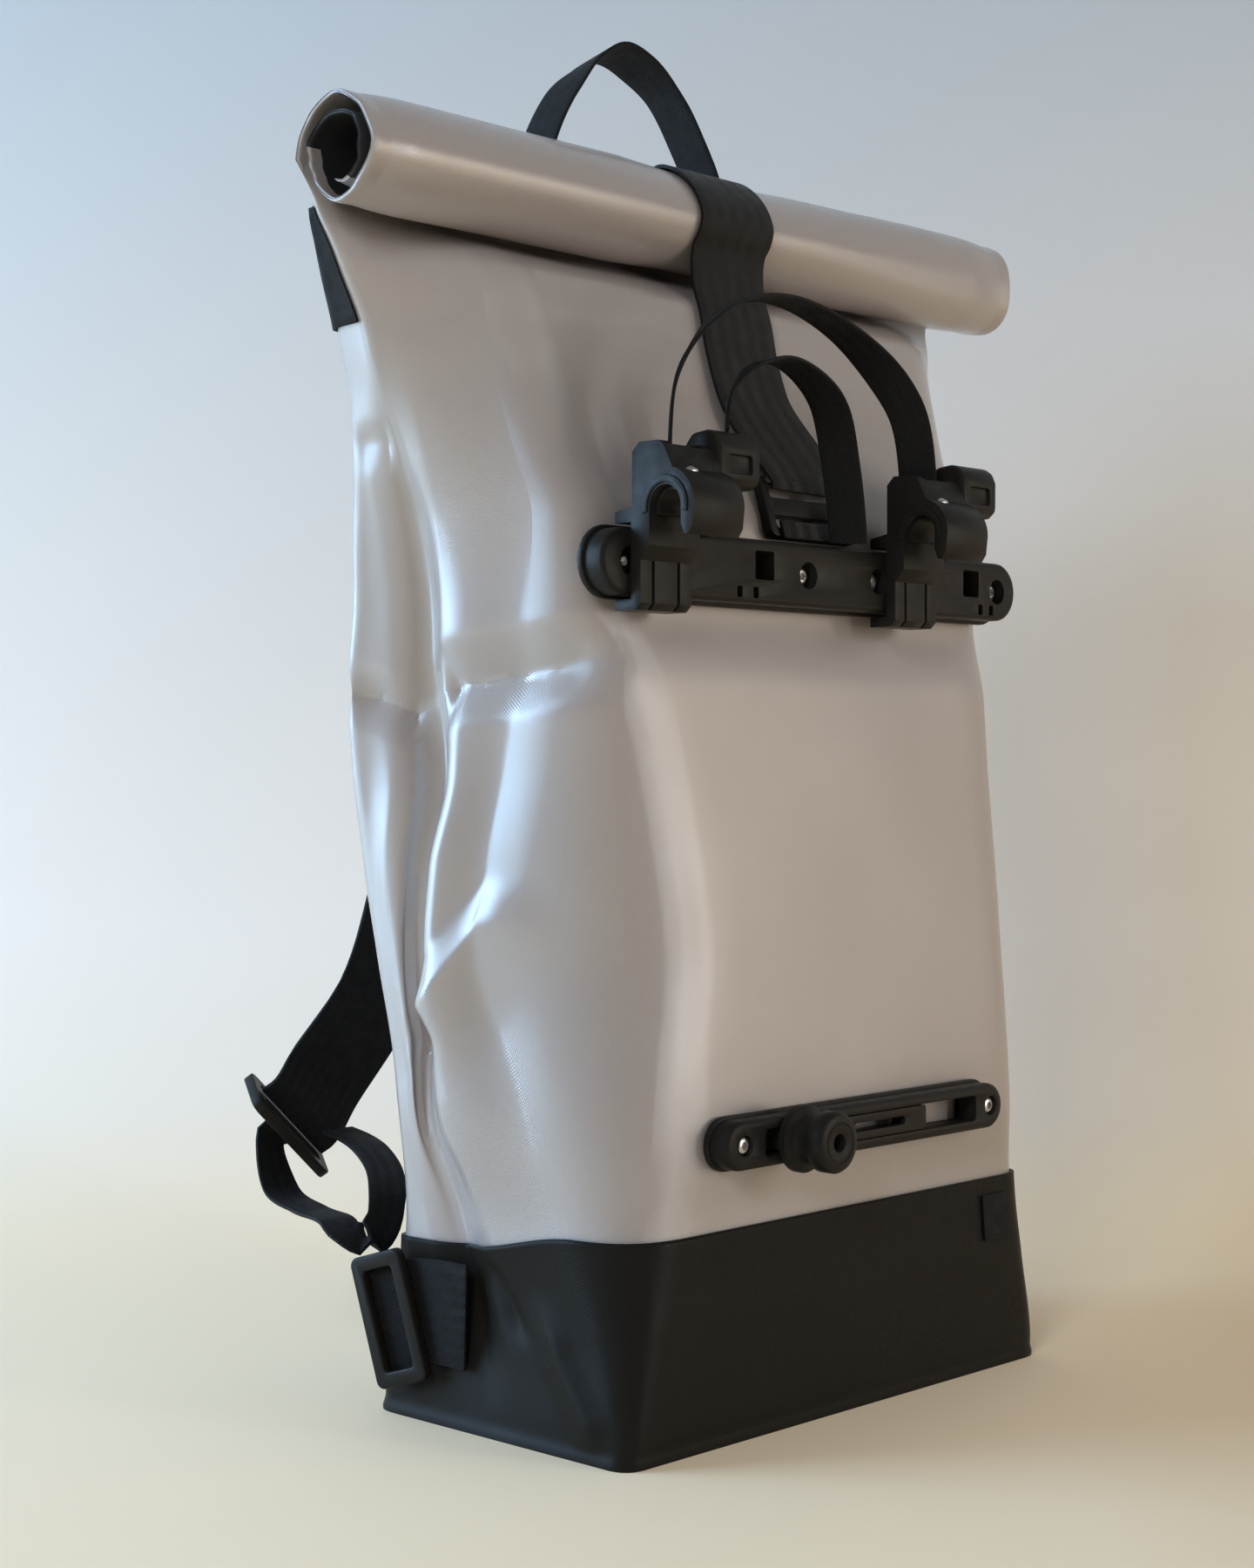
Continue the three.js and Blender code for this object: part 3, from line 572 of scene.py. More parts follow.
def rounded_rectangle(width: float, height: float, radius: float, middle: Flat = (0.0, 0.0)) -> list[Flat]:
    """Gives a rectangle with round corners, anticlockwise about its middle.

    Args:
        width: How wide it is.
        height: How tall it is.
        radius: The radius of its corners.
        middle: Its middle.

    Returns:
        The points in order.
    """
    points: list[Flat] = []
    for turn, (right, top) in enumerate(((1, -1), (1, 1), (-1, 1), (-1, -1))):
        centre = (middle[0] + right * (width / 2 - radius), middle[1] + top * (height / 2 - radius))
        points += arc(centre, radius, turn * 90 - 90, turn * 90, 5)
    return points


def stadium(length: float, height: float, middle: Flat = (0.0, 0.0)) -> list[Flat]:
    """Gives a bar with half-round ends, anticlockwise about its middle.

    Args:
        length: How long it is over its ends.
        height: How tall it is.
        middle: Its middle.

    Returns:
        The points in order.
    """
    reach = (length - height) / 2
    right = arc((middle[0] + reach, middle[1]), height / 2, -90, 90, 14)
    return right + arc((middle[0] - reach, middle[1]), height / 2, 90, 270, 14)


def frame_of(origin: Vector, across: Vector, up: Vector) -> Matrix:
    """Gives the frame with its x and y along two directions, at a place in millimetres."""
    axes = Matrix((across, up, across.cross(up))).transposed().to_4x4()
    return Matrix.Translation(origin) @ axes


def facing_front(x: float, y: float, z: float) -> Matrix:
    """Gives a frame on the rack side: x to the right, y up, and out of the bag towards -Y."""
    return frame_of(point(x, y, z), ACROSS, UPWARD)


def facing_side(x: float) -> Matrix:
    """Gives a frame for a profile drawn in the bag's Y and Z, which is extruded along +X."""
    return frame_of(point(x, 0, 0), BACKWARD, UPWARD)


def soften(form: Mesh, width: float, segments: int = 2, degrees: float = 35.0) -> Mesh:
    """Rounds every edge that is sharper than an angle.

    Args:
        form: The form, which is changed.
        width: How far the edges are rounded.
        segments: The steps of each rounding.
        degrees: The angle.

    Returns:
        The same form.
    """
    form.normal_update()
    limit = math.radians(degrees)
    sharp = [edge for edge in form.edges if edge.is_manifold and edge.calc_face_angle(0.0) > limit]
    bmesh.ops.bevel(
        form, geom=sharp, offset=width, offset_type="OFFSET", affect="EDGES", segments=segments, profile=0.5,
        material=-1, clamp_overlap=True,
    )
    return form


def plate(outline: Sequence[Flat], depth: float, frame: Matrix, rim: float = 0.0, segments: int = 2) -> Mesh:
    """Extrudes an outline, rounds its edges and puts it in its place.

    Args:
        outline: The points in the frame's x and y.
        depth: How far it is extruded along the frame's z.
        frame: The place, in millimetres.
        rim: How far the edges are rounded.
        segments: The steps of each rounding.

    Returns:
        The form, in millimetres.
    """
    form = bmesh.new()
    face = form.faces.new([form.verts.new((x, y, 0.0)) for x, y in outline])
    grown = bmesh.ops.extrude_face_region(form, geom=[face])["geom"]
    raised = [part for part in grown if isinstance(part, bmesh.types.BMVert)]
    bmesh.ops.translate(form, verts=raised, vec=(0.0, 0.0, depth))
    bmesh.ops.recalc_face_normals(form, faces=form.faces)
    if rim:
        soften(form, rim, segments)
    bmesh.ops.transform(form, matrix=frame, verts=form.verts)
    return form


def turned(profile: Sequence[Flat], frame: Matrix, steps: int) -> Mesh:
    """Spins a profile about the frame's z.

    Args:
        profile: Pairs of radius and height, from the axis at the bottom to the axis at the top.
        frame: The place, in millimetres.
        steps: The number of steps in a turn.

    Returns:
        The form, in millimetres.
    """
    form = bmesh.new()
    verts = [form.verts.new((radius, 0.0, height)) for radius, height in profile]
    edges = [form.edges.new(pair) for pair in zip(verts, verts[1:])]
    bmesh.ops.spin(
        form, geom=verts + edges, cent=(0, 0, 0), axis=(0, 0, 1), angle=2 * math.pi, steps=steps,
        use_merge=True,
    )
    bmesh.ops.remove_doubles(form, verts=form.verts, dist=1e-4)
    bmesh.ops.recalc_face_normals(form, faces=form.faces)
    bmesh.ops.transform(form, matrix=frame, verts=form.verts)
    return form


def gather(forms: Iterable[Mesh]) -> Mesh:
    """Puts several forms into one, and frees them.

    Args:
        forms: The forms.

    Returns:
        The whole.
    """
    whole = bmesh.new()
    for form in forms:
        loose = bpy.data.meshes.new("loose")
        form.to_mesh(loose)
        form.free()
        whole.from_mesh(loose)
        bpy.data.meshes.remove(loose)
    return whole


def carve(form: Mesh, cutters: Sequence[Mesh]) -> Mesh:
    """Cuts shapes out of a form.

    Args:
        form: The closed form to cut, which is freed.
        cutters: Closed forms that don't touch each other, which are freed.

    Returns:
        The cut form.
    """
    objects = []
    for part in (form, gather(cutters)):
        mesh = bpy.data.meshes.new("bench")
        part.to_mesh(mesh)
        part.free()
        bench = bpy.data.objects.new("bench", mesh)
        bpy.context.collection.objects.link(bench)
        objects.append(bench)
    block, tool = objects
    knife = block.modifiers.new("knife", "BOOLEAN")
    knife.object = tool
    knife.operation = "DIFFERENCE"
    knife.solver = "EXACT"
    cut = bmesh.new()
    cut.from_object(block, bpy.context.evaluated_depsgraph_get())
    for bench in objects:
        mesh = bench.data
        bpy.data.objects.remove(bench)
        bpy.data.meshes.remove(mesh)
    return cut


def to_metres(form: Mesh) -> Mesh:
    """Scales a form from millimetres."""
    bmesh.ops.scale(form, vec=(MM, MM, MM), verts=form.verts)
    return form


def node_box(name: str) -> tuple[Vector, Vector]:
    """Gives a node's lowest and highest corner, in millimetres."""
    low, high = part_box(name)
    return Vector(low) / MM, Vector(high) / MM


def middle_x(name: str) -> float:
    """Gives the middle of a node across the bag, in millimetres."""
    low, high = node_box(name)
    return (low.x + high.x) / 2


def node_front(name: str) -> tuple[float, float, float, Matrix]:
    """Gives a node's length, depth and height, and a frame on the middle of its back that faces the front.

    Args:
        name: The node's name.

    Returns:
        The three sizes and the frame, in millimetres.
    """
    low, high = node_box(name)
    length, depth, height = (top - bottom for bottom, top in zip(low, high))
    return length, depth, height, facing_front(middle_x(name), high.y, (low.z + high.z) / 2)


def node_through(name: str, past: float) -> Matrix:
    """Gives a frame for cutters, past a node's back and level with its middle, whose x is the bag's."""
    low, high = node_box(name)
    return facing_front(0, high.y + past, (low.z + high.z) / 2)


@dataclass(frozen=True)
class Stop:
    """A station of a strap: its middle, and the direction of its width."""

    at: Vector
    wide: Vector


def curve_point(places: Sequence[Vector], share: float) -> Vector:
    """Gives a point of the centripetal curve through some places, at a share of its run.

    Args:
        places: The places that the curve passes.
        share: From 0 at the first place to 1 at the last.

    Returns:
        The point.
    """
    spans = len(places) - 1
    index = min(int(share * spans), spans - 1)
    here = share * spans - index
    second, third = places[index], places[index + 1]
    first = places[index - 1] if index else second * 2 - third
    fourth = places[index + 2] if index + 2 <= spans else third * 2 - second
    gaps = [max(1e-4, (b - a).length ** 0.5) for a, b in ((first, second), (second, third), (third, fourth))]
    span = (third - second) / gaps[1]
    leaving = (second - first) / gaps[0] - (third - first) / (gaps[0] + gaps[1]) + span
    arriving = span - (fourth - second) / (gaps[1] + gaps[2]) + (fourth - third) / gaps[2]
    leaving *= gaps[1]
    arriving *= gaps[1]
    square, cube = here**2, here**3
    return (
        second * (2 * cube - 3 * square + 1)
        + leaving * (cube - 2 * square + here)
        + third * (3 * square - 2 * cube)
        + arriving * (cube - square)
    )


@dataclass
class Strap:
    """A flat strap through its stops, of one width and thickness."""

    name: str
    stops: Sequence[Stop]
    width: float
    thickness: float = 1.6
    row_length: float = 3.0
    columns: int = 6
    samples: int = 300
    edge_share: float = 0.3
    edge_degrees: float = 50.0

    def _rows(self) -> tuple[list[tuple[Vector, Vector]], list[float]]:
        """Gives evenly spaced rows as a middle and half a width, and how far along each one lies.

        Returns:
            The rows and their distances.
        """
        places = [stop.at for stop in self.stops]
        widths = [stop.wide for stop in self.stops]
        fine = [curve_point(places, step / self.samples) for step in range(self.samples + 1)]
        travelled = [0.0]
        for before, after in zip(fine, fine[1:]):
            travelled.append(travelled[-1] + (after - before).length)
        count = max(4, round(travelled[-1] / self.row_length))
        marks = [travelled[-1] * step / count for step in range(count + 1)]
        rows = []
        for mark in marks:
            upper = next((index for index, gone in enumerate(travelled) if gone >= mark), self.samples)
            upper = max(1, upper)
            part = (mark - travelled[upper - 1]) / max(1e-6, travelled[upper] - travelled[upper - 1])
            share = (upper - 1 + part) / self.samples
            along = (fine[upper] - fine[upper - 1]).normalized()
            wide = curve_point(widths, share)
            wide = (wide - along * wide.dot(along)).normalized() * (self.width / 2)
            rows.append((fine[upper - 1].lerp(fine[upper], part), wide))
        return rows, marks

    def build(self, finish: bpy.types.Material, stands_for: str, held: str) -> None:
        """Makes the strap as a sheet of webbing.

        Args:
            finish: The webbing.
            stands_for: The CAD node that it replaces.
            held: Not used; it says how the strap is held, or is empty for a scrap too short to hang.
        """
        rows, marks = self._rows()

        def place(column: int, row: int) -> Vector:
            """Gives the shaped place of a column and row."""
            middle, half = rows[row]
            return middle + half * (column / self.columns * 2 - 1)

        def lay(column: int, row: int) -> Flat:
            """Gives the flat place of a column and row."""
            return column / self.columns * self.width, marks[row]

        form = cloth_grid(self.columns, len(rows) - 1, place, lay)
        strap = publish(self.name, form, (finish,), (stands_for,))
        thicken(strap, self.thickness, 0.0)
        edge = strap.modifiers.new("soft_edge", "BEVEL")
        edge.width = self.thickness * self.edge_share * MM
        edge.segments = 2
        edge.limit_method = "ANGLE"
        edge.angle_limit = math.radians(self.edge_degrees)


@dataclass(frozen=True)
class Section:
    """The tube's cross-section at one height.

    The panels lie at front_y and back_y, front_x and back_x are half the distance between their corners, and
    fold_x and fold_y place the fold along each side. The round values are how far each corner is cut back,
    puff is how far the side bulges, and shift leans the top to one side.
    """

    z: float
    front_y: float
    back_y: float
    fold_x: float
    fold_y: float
    front_x: float
    back_x: float
    round_left: float
    round_right: float
    round_back: float
    puff: float
    shift: float


@dataclass(frozen=True)
class Crease:
    """A valley pressed into a side of the bag, along a line drawn on the flat cloth.

    Each point of the line is a distance from the side's fold, towards the front, and a height. The valley
    reaches further on one side of its line than on the other, and eases out at its ends. A negative depth
    makes a ridge.
    """

    side: Side
    line: tuple[Flat, ...]
    depth: float
    above: float
    below: float
    start_ease: float
    end_ease: float
    fade: float = 1.2

    def depth_at(self, out: float, height: float) -> float:
        """Gives how deep the valley is at a flat place.

        Args:
            out: The distance from the fold towards the front.
            height: The height on the cloth.

        Returns:
            The depth in millimetres.
        """
        here = Vector((out, height))
        nearest = (math.inf, 0.0, 0.0)
        travelled = 0.0
        for start, end in zip(self.line, self.line[1:]):
            first = Vector(start)
            span = Vector(end) - first
            share = min(1.0, max(0.0, (here - first).dot(span) / span.length_squared))
            gap = here - first - span * share
            if gap.length < nearest[0]:
                rise = span.x * gap.y - span.y * gap.x
                nearest = (gap.length, rise * (1 if span.x >= 0 else -1), travelled + span.length * share)
            travelled += span.length
        reach = self.above if nearest[1] > 0 else self.below
        ease = 1.0
        if self.start_ease:
            ease *= smooth_step(nearest[2] / self.start_ease)
        if self.end_ease:
            ease *= smooth_step((travelled - nearest[2]) / self.end_ease)
        return self.depth * ease * max(0.0, 1 - nearest[0] / reach) ** self.fade


@dataclass(frozen=True)
class Roll:
    """The rolled mouth: a rounded diamond that steps in by one pitch in the second half of each turn.

    The inner turns and the right end are rounder than the rest.
    """

    centre_y: float = 2.0
    centre_z: float = 549.0
    radius: float = 24.6
    roundness: float = 1.6
    inner_roundness: float = 0.8
    inner_from: float = 0.6
    right_roundness: float = 1.0
    right_from: float = 40.0
    right_span: float = 120.0
    pitch: float = 8.6
    degrees: float = 620.0

    def reach(self, x: float, angle: float) -> float:
        """Gives the middle layer's distance from the roll's axis after turning by an angle.

        Args:
            x: The place across the bag.
            angle: The turn from the back, in radians.

        Returns:
            The distance in millimetres.
        """
        turns = angle / (2 * math.pi)
        inner = self.inner_roundness * smooth_step(turns - self.inner_from)
        right = self.right_roundness * smooth_step((x - self.right_from) / self.right_span)
        power = self.roundness + (inner + right)
        spread = abs(math.cos(angle)) ** power + abs(math.sin(angle)) ** power
        whole = math.floor(turns + 1e-9)
        wound = whole + smooth_step((turns - whole - 0.5) / 0.5)
        return self.radius * spread ** (-1 / power) - self.pitch * wound

    def point(self, x: float, angle: float, lift: float) -> Vector:
        """Gives a point of the roll, lifted off its middle layer."""
        out = self.reach(x, angle) + lift
        return Vector((x, self.centre_y + out * math.cos(angle), self.centre_z + out * math.sin(angle)))


@dataclass
class BagTube:
    """The shape that the tarpaulin and the boot share: a tube whose section changes with height.

    SWELL_GAIN brings the fullest place of a side's bulge to 1, and back_puff is the share of the bulge behind
    the fold.
    """

    SWELL_GAIN = 27 / 4

    fold_round: float = 3.0
    back_puff: float = 1 / 3
    least_slant: float = 0.45
    sway_length: float = 75.0
    front_steps: int = 18
    side_front_steps: int = 32
    side_back_steps: int = 16
    back_steps: int = 12
    corner_steps: int = 6
    left_front_steps: int = 12
    fold_steps: int = 4
    roll: Roll = field(default_factory=Roll)
    sections: tuple[Section, ...] = (
        Section(0, -80, 80, 150, 0, 150, 150, 10, 14, 14, 0, 0),
        Section(10, -81, 80, 149, 4, 150, 150, 12, 14, 14, 0, 0),
        Section(50, -79, 74, 146, 16, 147, 150, 24, 16, 14, 0, 0),
        Section(92, -76, 68, 148, 30, 145, 150, 40, 18, 12, 2, 0),
        Section(150, -74, 71, 156, 46, 145, 151, 56, 20, 12, 8, 0),
        Section(211, -70, 79, 156, 48, 145, 156, 76, 22, 10, 10, 0),
        Section(250, -67, 82, 155, 45, 145, 160, 70, 22, 9, 10, 0),
        Section(290, -63, 82, 151, 39, 145, 167, 58, 22, 9, 9, 0),
        Section(330, -59, 80, 153, 40, 146, 172, 44, 22, 9, 7, 0),
        Section(364, -51.5, 74, 157, 37, 146, 174, 32, 20, 9, 6, 0),
        Section(402, -49.5, 67, 167, 33, 146, 179, 24, 19, 9, 4, -1),
        Section(430, -39.5, 60, 179, 28, 146, 182, 20, 18, 9, 3, -4),
        Section(461, -30.5, 54, 191, 24, 146, 186, 18, 16, 10, 1, -7),
        Section(485, -25, 50, 196, 22, 146, 192, 16, 14, 12, 0, -10),
        Section(508, -20, 43, 206, 22, 146, 202, 14, 14, 10, 0, -12),
        Section(517, -9, 40, 209, 23, 146, 205, 12, 12, 8, 0, -13),
        Section(532, 18.5, 36, 214, 26, 146, 208, 10, 10, 6, 0, -15),
        Section(549, 24.2, 29.0, 225, 26.6, 146, 196, 12, 12, 10, 0, -16),
    )

    def section(self, z: float) -> Section:
        """Gives the section at a height, on a curve through the table that doesn't overshoot.

        Args:
            z: The height.

        Returns:
            The section.
        """
        rows = [astuple(row) for row in self.sections]
        upper = next((index for index, row in enumerate(rows) if row[0] >= z), len(rows) - 1)
        upper = max(1, upper)
        low, high = rows[upper - 1], rows[upper]
        span = high[0] - low[0]
        share = (z - low[0]) / span
        values = [z]
        for column in range(1, len(low)):
            slopes = [
                (rows[index + 1][column] - rows[index][column]) / (rows[index + 1][0] - rows[index][0])
                for index in range(max(0, upper - 2), min(len(rows) - 1, upper + 1))
            ]
            middle = slopes.index((high[column] - low[column]) / span)
            leaving = self._shared_slope(slopes[max(0, middle - 1)], slopes[middle])
            arriving = self._shared_slope(slopes[middle], slopes[min(len(slopes) - 1, middle + 1)])
            values.append(
                low[column] * (1 + 2 * share) * (1 - share) ** 2
                + high[column] * share * share * (3 - 2 * share)
                + span * leaving * share * (1 - share) ** 2
                - span * arriving * share * share * (1 - share)
            )
        return Section(*values)

    @staticmethod
    def _shared_slope(before: float, after: float) -> float:
        """Gives a slope at a row from those before and after it, level where they disagree."""
        return 0.0 if before * after <= 0 else 2 * before * after / (before + after)

    def outline(self, row: Section) -> tuple[list[Vector], dict[Side, int]]:
        """Draws one turn of a section, anticlockwise from the middle of the back.

        Args:
            row: The section.

        Returns:
            The flat points, and the index of each side's fold.
        """
        puff, less = row.puff, row.puff * self.back_puff
        corners = [
            (-1, row.front_x, row.front_y, row.round_left, self.left_front_steps, self.front_steps, 0.0),
            (1, row.front_x, row.front_y, row.round_right, self.corner_steps, self.side_front_steps, puff),
            (1, row.fold_x, row.fold_y, self.fold_round, self.fold_steps, self.side_back_steps, less),
            (1, row.back_x, row.back_y, row.round_back, self.corner_steps, self.back_steps, 0.0),
            (-1, row.back_x, row.back_y, row.round_back, self.corner_steps, self.side_back_steps, less),
            (-1, row.fold_x, row.fold_y, self.fold_round, self.fold_steps, self.side_front_steps, puff),
        ]
        places = [Vector((side * x, y)) for side, x, y, *_ in corners]
        cuts = [cut for _, _, _, cut, *_ in corners]
        points: list[Vector] = []
        starts: list[int] = []
        for index, (*_, steps, run_steps, bulge) in enumerate(corners):
            here = places[index]
            before = places[index - 1]
            after = places[(index + 1) % len(places)]
            start = here + (before - here).normalized() * cuts[index]
            end = here + (after - here).normalized() * cuts[index]
            starts.append(len(points))
            for step in range(steps + 1):
                share = step / steps
                points.append(start.lerp(here, share).lerp(here.lerp(end, share), share))
            run_end = after + (here - after).normalized() * cuts[(index + 1) % len(cuts)]
            along = after - here
            outward = Vector((along.y, -along.x)).normalized()
            for step in range(1, run_steps):
                share = step / run_steps
                from_corner = 1 - share if steps == self.fold_steps else share
                swell = self.SWELL_GAIN * from_corner**2 * (1 - from_corner)
                points.append(end.lerp(run_end, share) + outward * (bulge * swell))
        first = starts[3] + self.corner_steps + self.back_steps // 2
        marks = {Side.RIGHT: starts[2] + self.fold_steps // 2, Side.LEFT: starts[5] + self.fold_steps // 2}
        folds = {side: (index - first) % len(points) for side, index in marks.items()}
        return points[first:] + points[:first], folds

    def inset(self, points: Sequence[Vector], depths: Sequence[float]) -> list[Vector]:
        """Moves each point of a turn towards the inside by its depth.

        Args:
            points: The turn's points.
            depths: The depth of each one.

        Returns:
            The moved points.
        """
        moved = []
        count = len(points)
        for index, here in enumerate(points):
            arriving = (here - points[index - 1]).normalized()
            leaving = (points[(index + 1) % count] - here).normalized()
            normal = Vector((-arriving.y - leaving.y, arriving.x + leaving.x)).normalized()
            slant = max(self.least_slant, normal.x * -arriving.y + normal.y * arriving.x)
            moved.append(here + normal * (depths[index] / slant))
        return moved

    @staticmethod
    def lengths(points: Sequence[Vector]) -> list[float]:
        """Gives how far along the turn each point lies, with the whole length last.

        Args:
            points: The turn's points.

        Returns:
            The distances, one more than the points.
        """
        travelled = [0.0]
        for index in range(len(points)):
            travelled.append(travelled[-1] + (points[(index + 1) % len(points)] - points[index]).length)
        return travelled

    def ring(self, z: float, depth: float, creases: Sequence[Crease], ripple: float) -> list[Vector]:
        """Gives the turn at a height on the upright bag.

        Args:
            z: The height.
            depth: How far the whole turn is moved inwards.
            creases: The valleys pressed into it.
            ripple: How deep the cloth's slow unevenness is.

        Returns:
            The turn's points.
        """
        row = self.section(z)
        points, folds = self.outline(row)
        travelled = self.lengths(points)
        depths = []
        for index, here in enumerate(points):
            side = Side.LEFT if here.x < 0 else Side.RIGHT
            out = (travelled[index] - travelled[folds[side]]) * -side.value
            pressed = sum(crease.depth_at(out, z) for crease in creases if crease.side is side)
            sway = noise.noise(Vector((here.x + row.shift, here.y, z)) / self.sway_length)
            depths.append(depth + pressed + ripple * (0.5 + 0.5 * sway))
        return [point(here.x + row.shift, here.y, z) for here in self.inset(points, depths)]


@dataclass
class TarpBody:
    """The tarpaulin tube: tucked into the boot, folded flat at the top and rolled.

    The wander and sag places say where the noise is read that makes the rolled ends and the roll uneven. The
    inside angles bound the rows of the roll that get painted shade, and pale_end and dark_end are the margins
    of plain tarp left at its ends.
    """

    tube: BagTube
    finishes: Finishes
    wall: float = 1.3
    boot_top: float = 92.0
    tuck: float = 21.0
    tuck_depth: float = 2.2
    ease_height: float = 40.0
    height_step: float = 2.8
    roll_step: float = 7.5
    ripple: float = 1.6
    still_from: float = 455.0
    still_span: float = 25.0
    roll_ease: float = 0.5
    end_from: float = 150.0
    end_span: float = 70.0
    end_wander: float = 3.0
    wander_place: Triple = (4.0, 1.3, 0.7)
    sag: float = 0.7
    sag_length: float = 110.0
    sag_place: Flat = (0.6, 5.0)
    tail_from: float = 545.0
    tail_span: float = 60.0
    tail_spread: float = 2.0
    strap_x: float = -17.0
    strap_half: float = 27.0
    strap_ease: float = 30.0
    strap_pinch: float = 1.4
    inside_from: float = 30.0
    inside_both: float = 372.0
    inside_to: float = 590.0
    inside_low: float = 290.0
    pale_end: float = 32.0
    dark_end: float = 5.0
    creases: tuple[Crease, ...] = (
        Crease(Side.LEFT, ((0, 60), (0, 180), (0, 260), (0, 350)), 5.5, 20.0, 24.0, 0.0, 70.0),
        Crease(Side.LEFT, ((0, 110), (0, 170), (0, 260), (0, 345)), 4.0, 22.0, 26.0, 50.0, 40.0),
        Crease(Side.LEFT, ((0, 290), (0, 380), (0, 480)), 3.5, 18.0, 14.0, 50.0, 50.0),
        Crease(Side.LEFT, ((6, 328), (45, 333), (112, 343)), 10.0, 22.0, 19.0, 10.0, 34.0),
        Crease(Side.LEFT, ((2, 176), (24, 196), (48, 226), (68, 247)), -6.0, 13.0, 36.0, 20.0, 22.0),
        Crease(Side.LEFT, ((-2, 316), (-24, 324), (-50, 332)), 7.0, 14.0, 15.0, 6.0, 24.0),
        Crease(Side.LEFT, ((0, 172), (14, 174), (30, 172)), 3.5, 14.0, 14.0, 0.0, 16.0),
        Crease(Side.LEFT, ((-2, 437), (-14, 438), (-30, 437)), 3.0, 8.0, 16.0, 4.0, 14.0),
        Crease(Side.LEFT, ((8, 541), (80, 535), (150, 527)), 8.0, 14.0, 11.0, 12.0, 40.0),
        Crease(Side.RIGHT, ((0, 60), (0, 200), (0, 350)), 8.0, 20.0, 24.0, 0.0, 70.0),
        Crease(Side.RIGHT, ((6, 306), (40, 300), (80, 292)), 9.0, 22.0, 18.0, 10.0, 26.0),
        Crease(Side.RIGHT, ((4, 176), (24, 194), (60, 232)), -4.5, 13.0, 32.0, 20.0, 24.0),
    )

    def _heights(self) -> list[float]:
        """Gives the heights of the upright rows.

        Returns:
            The heights from the bottom up, without the roll's first row.
        """
        low = self.boot_top - self.tuck
        high = self.tube.roll.centre_z
        count = round((high - low) / self.height_step)
        return [low + (high - low) * step / count for step in range(count)]

    def _angles(self) -> list[float]:
        """Gives the angles of the rolled rows, in radians."""
        count = round(self.tube.roll.degrees / self.roll_step)
        return [math.radians(self.tube.roll.degrees * step / count) for step in range(count + 1)]

    def _upright(self, z: float) -> list[Vector]:
        """Gives one upright row, tucked in where the boot covers it and still where the band lies.

        Args:
            z: The row's height.

        Returns:
            The row's points.
        """
        freed = smooth_step((z - self.boot_top) / self.ease_height)
        still = 1 - smooth_step((z - self.still_from) / self.still_span)
        return self.tube.ring(z, self.tuck_depth * (1 - freed), self.creases, self.ripple * freed * still)

    def _rolled(self, angle: float) -> list[Vector]:
        """Gives one rolled row, pinched under the strap, with ends that wander a little.

        Args:
            angle: How far the roll has turned, in radians.

        Returns:
            The row's points.
        """
        row = self.tube.section(self.tube.roll.centre_z)
        points, _ = self.tube.outline(row)
        middle = (row.front_y + row.back_y) / 2
        places = []
        started = smooth_step(angle / self.roll_ease)
        tail = smooth_step((math.degrees(angle) - self.tail_from) / self.tail_span)
        parted = 1 + self.tail_spread * tail
        wander_x, wander_turn, wander_z = self.wander_place
        sag_turn, sag_z = self.sag_place
        for here in points:
            x = here.x + row.shift
            outer = smooth_step((abs(here.x) - self.end_from) / self.end_span)
            wander = noise.noise(point(math.copysign(wander_x, x), angle * wander_turn, wander_z))
            sag = noise.noise(point(x / self.sag_length, angle * sag_turn, sag_z)) * self.sag
            from_strap = abs(x - self.strap_x) - self.strap_half
            pinch = self.strap_pinch * (1 - smooth_step(from_strap / self.strap_ease))
            end = math.copysign(self.end_wander * wander * outer * started, x) if x < 0 else 0.0
            lift = (here.y - middle) * parted + (sag - pinch) * started
            places.append(self.tube.roll.point(x + end, angle, lift))
        return places

    def build(self) -> None:
        """Makes the tube as one sheet of cloth."""
        heights = self._heights()
        angles = self._angles()
        rows = [self._upright(z) for z in heights] + [self._rolled(angle) for angle in angles]
        count = len(rows[0])
        around = self.tube.lengths(rows[len(heights) // 3])
        upward = [0.0]
        for lower, upper in zip(rows, rows[1:]):
            upward.append(upward[-1] + (upper[0] - lower[0]).length)
        form = cloth_grid(
            count,
            len(rows) - 1,
            lambda column, row: rows[row][column % count],
            lambda column, row: (around[column], upward[row]),
        )
        bmesh.ops.remove_doubles(form, verts=form.verts, dist=WELD * MM)
        # Painted shade on the roll's inner turns, where the roll is deep in shadow.
        self._darken_inside(form, len(heights), angles)
        cloths = (self.finishes.tarp, self.finishes.tarp_inside)
        tarp = publish("tarp_sheet", form, cloths, ("tarp_body",))
        thicken(tarp, self.wall, -1.0)

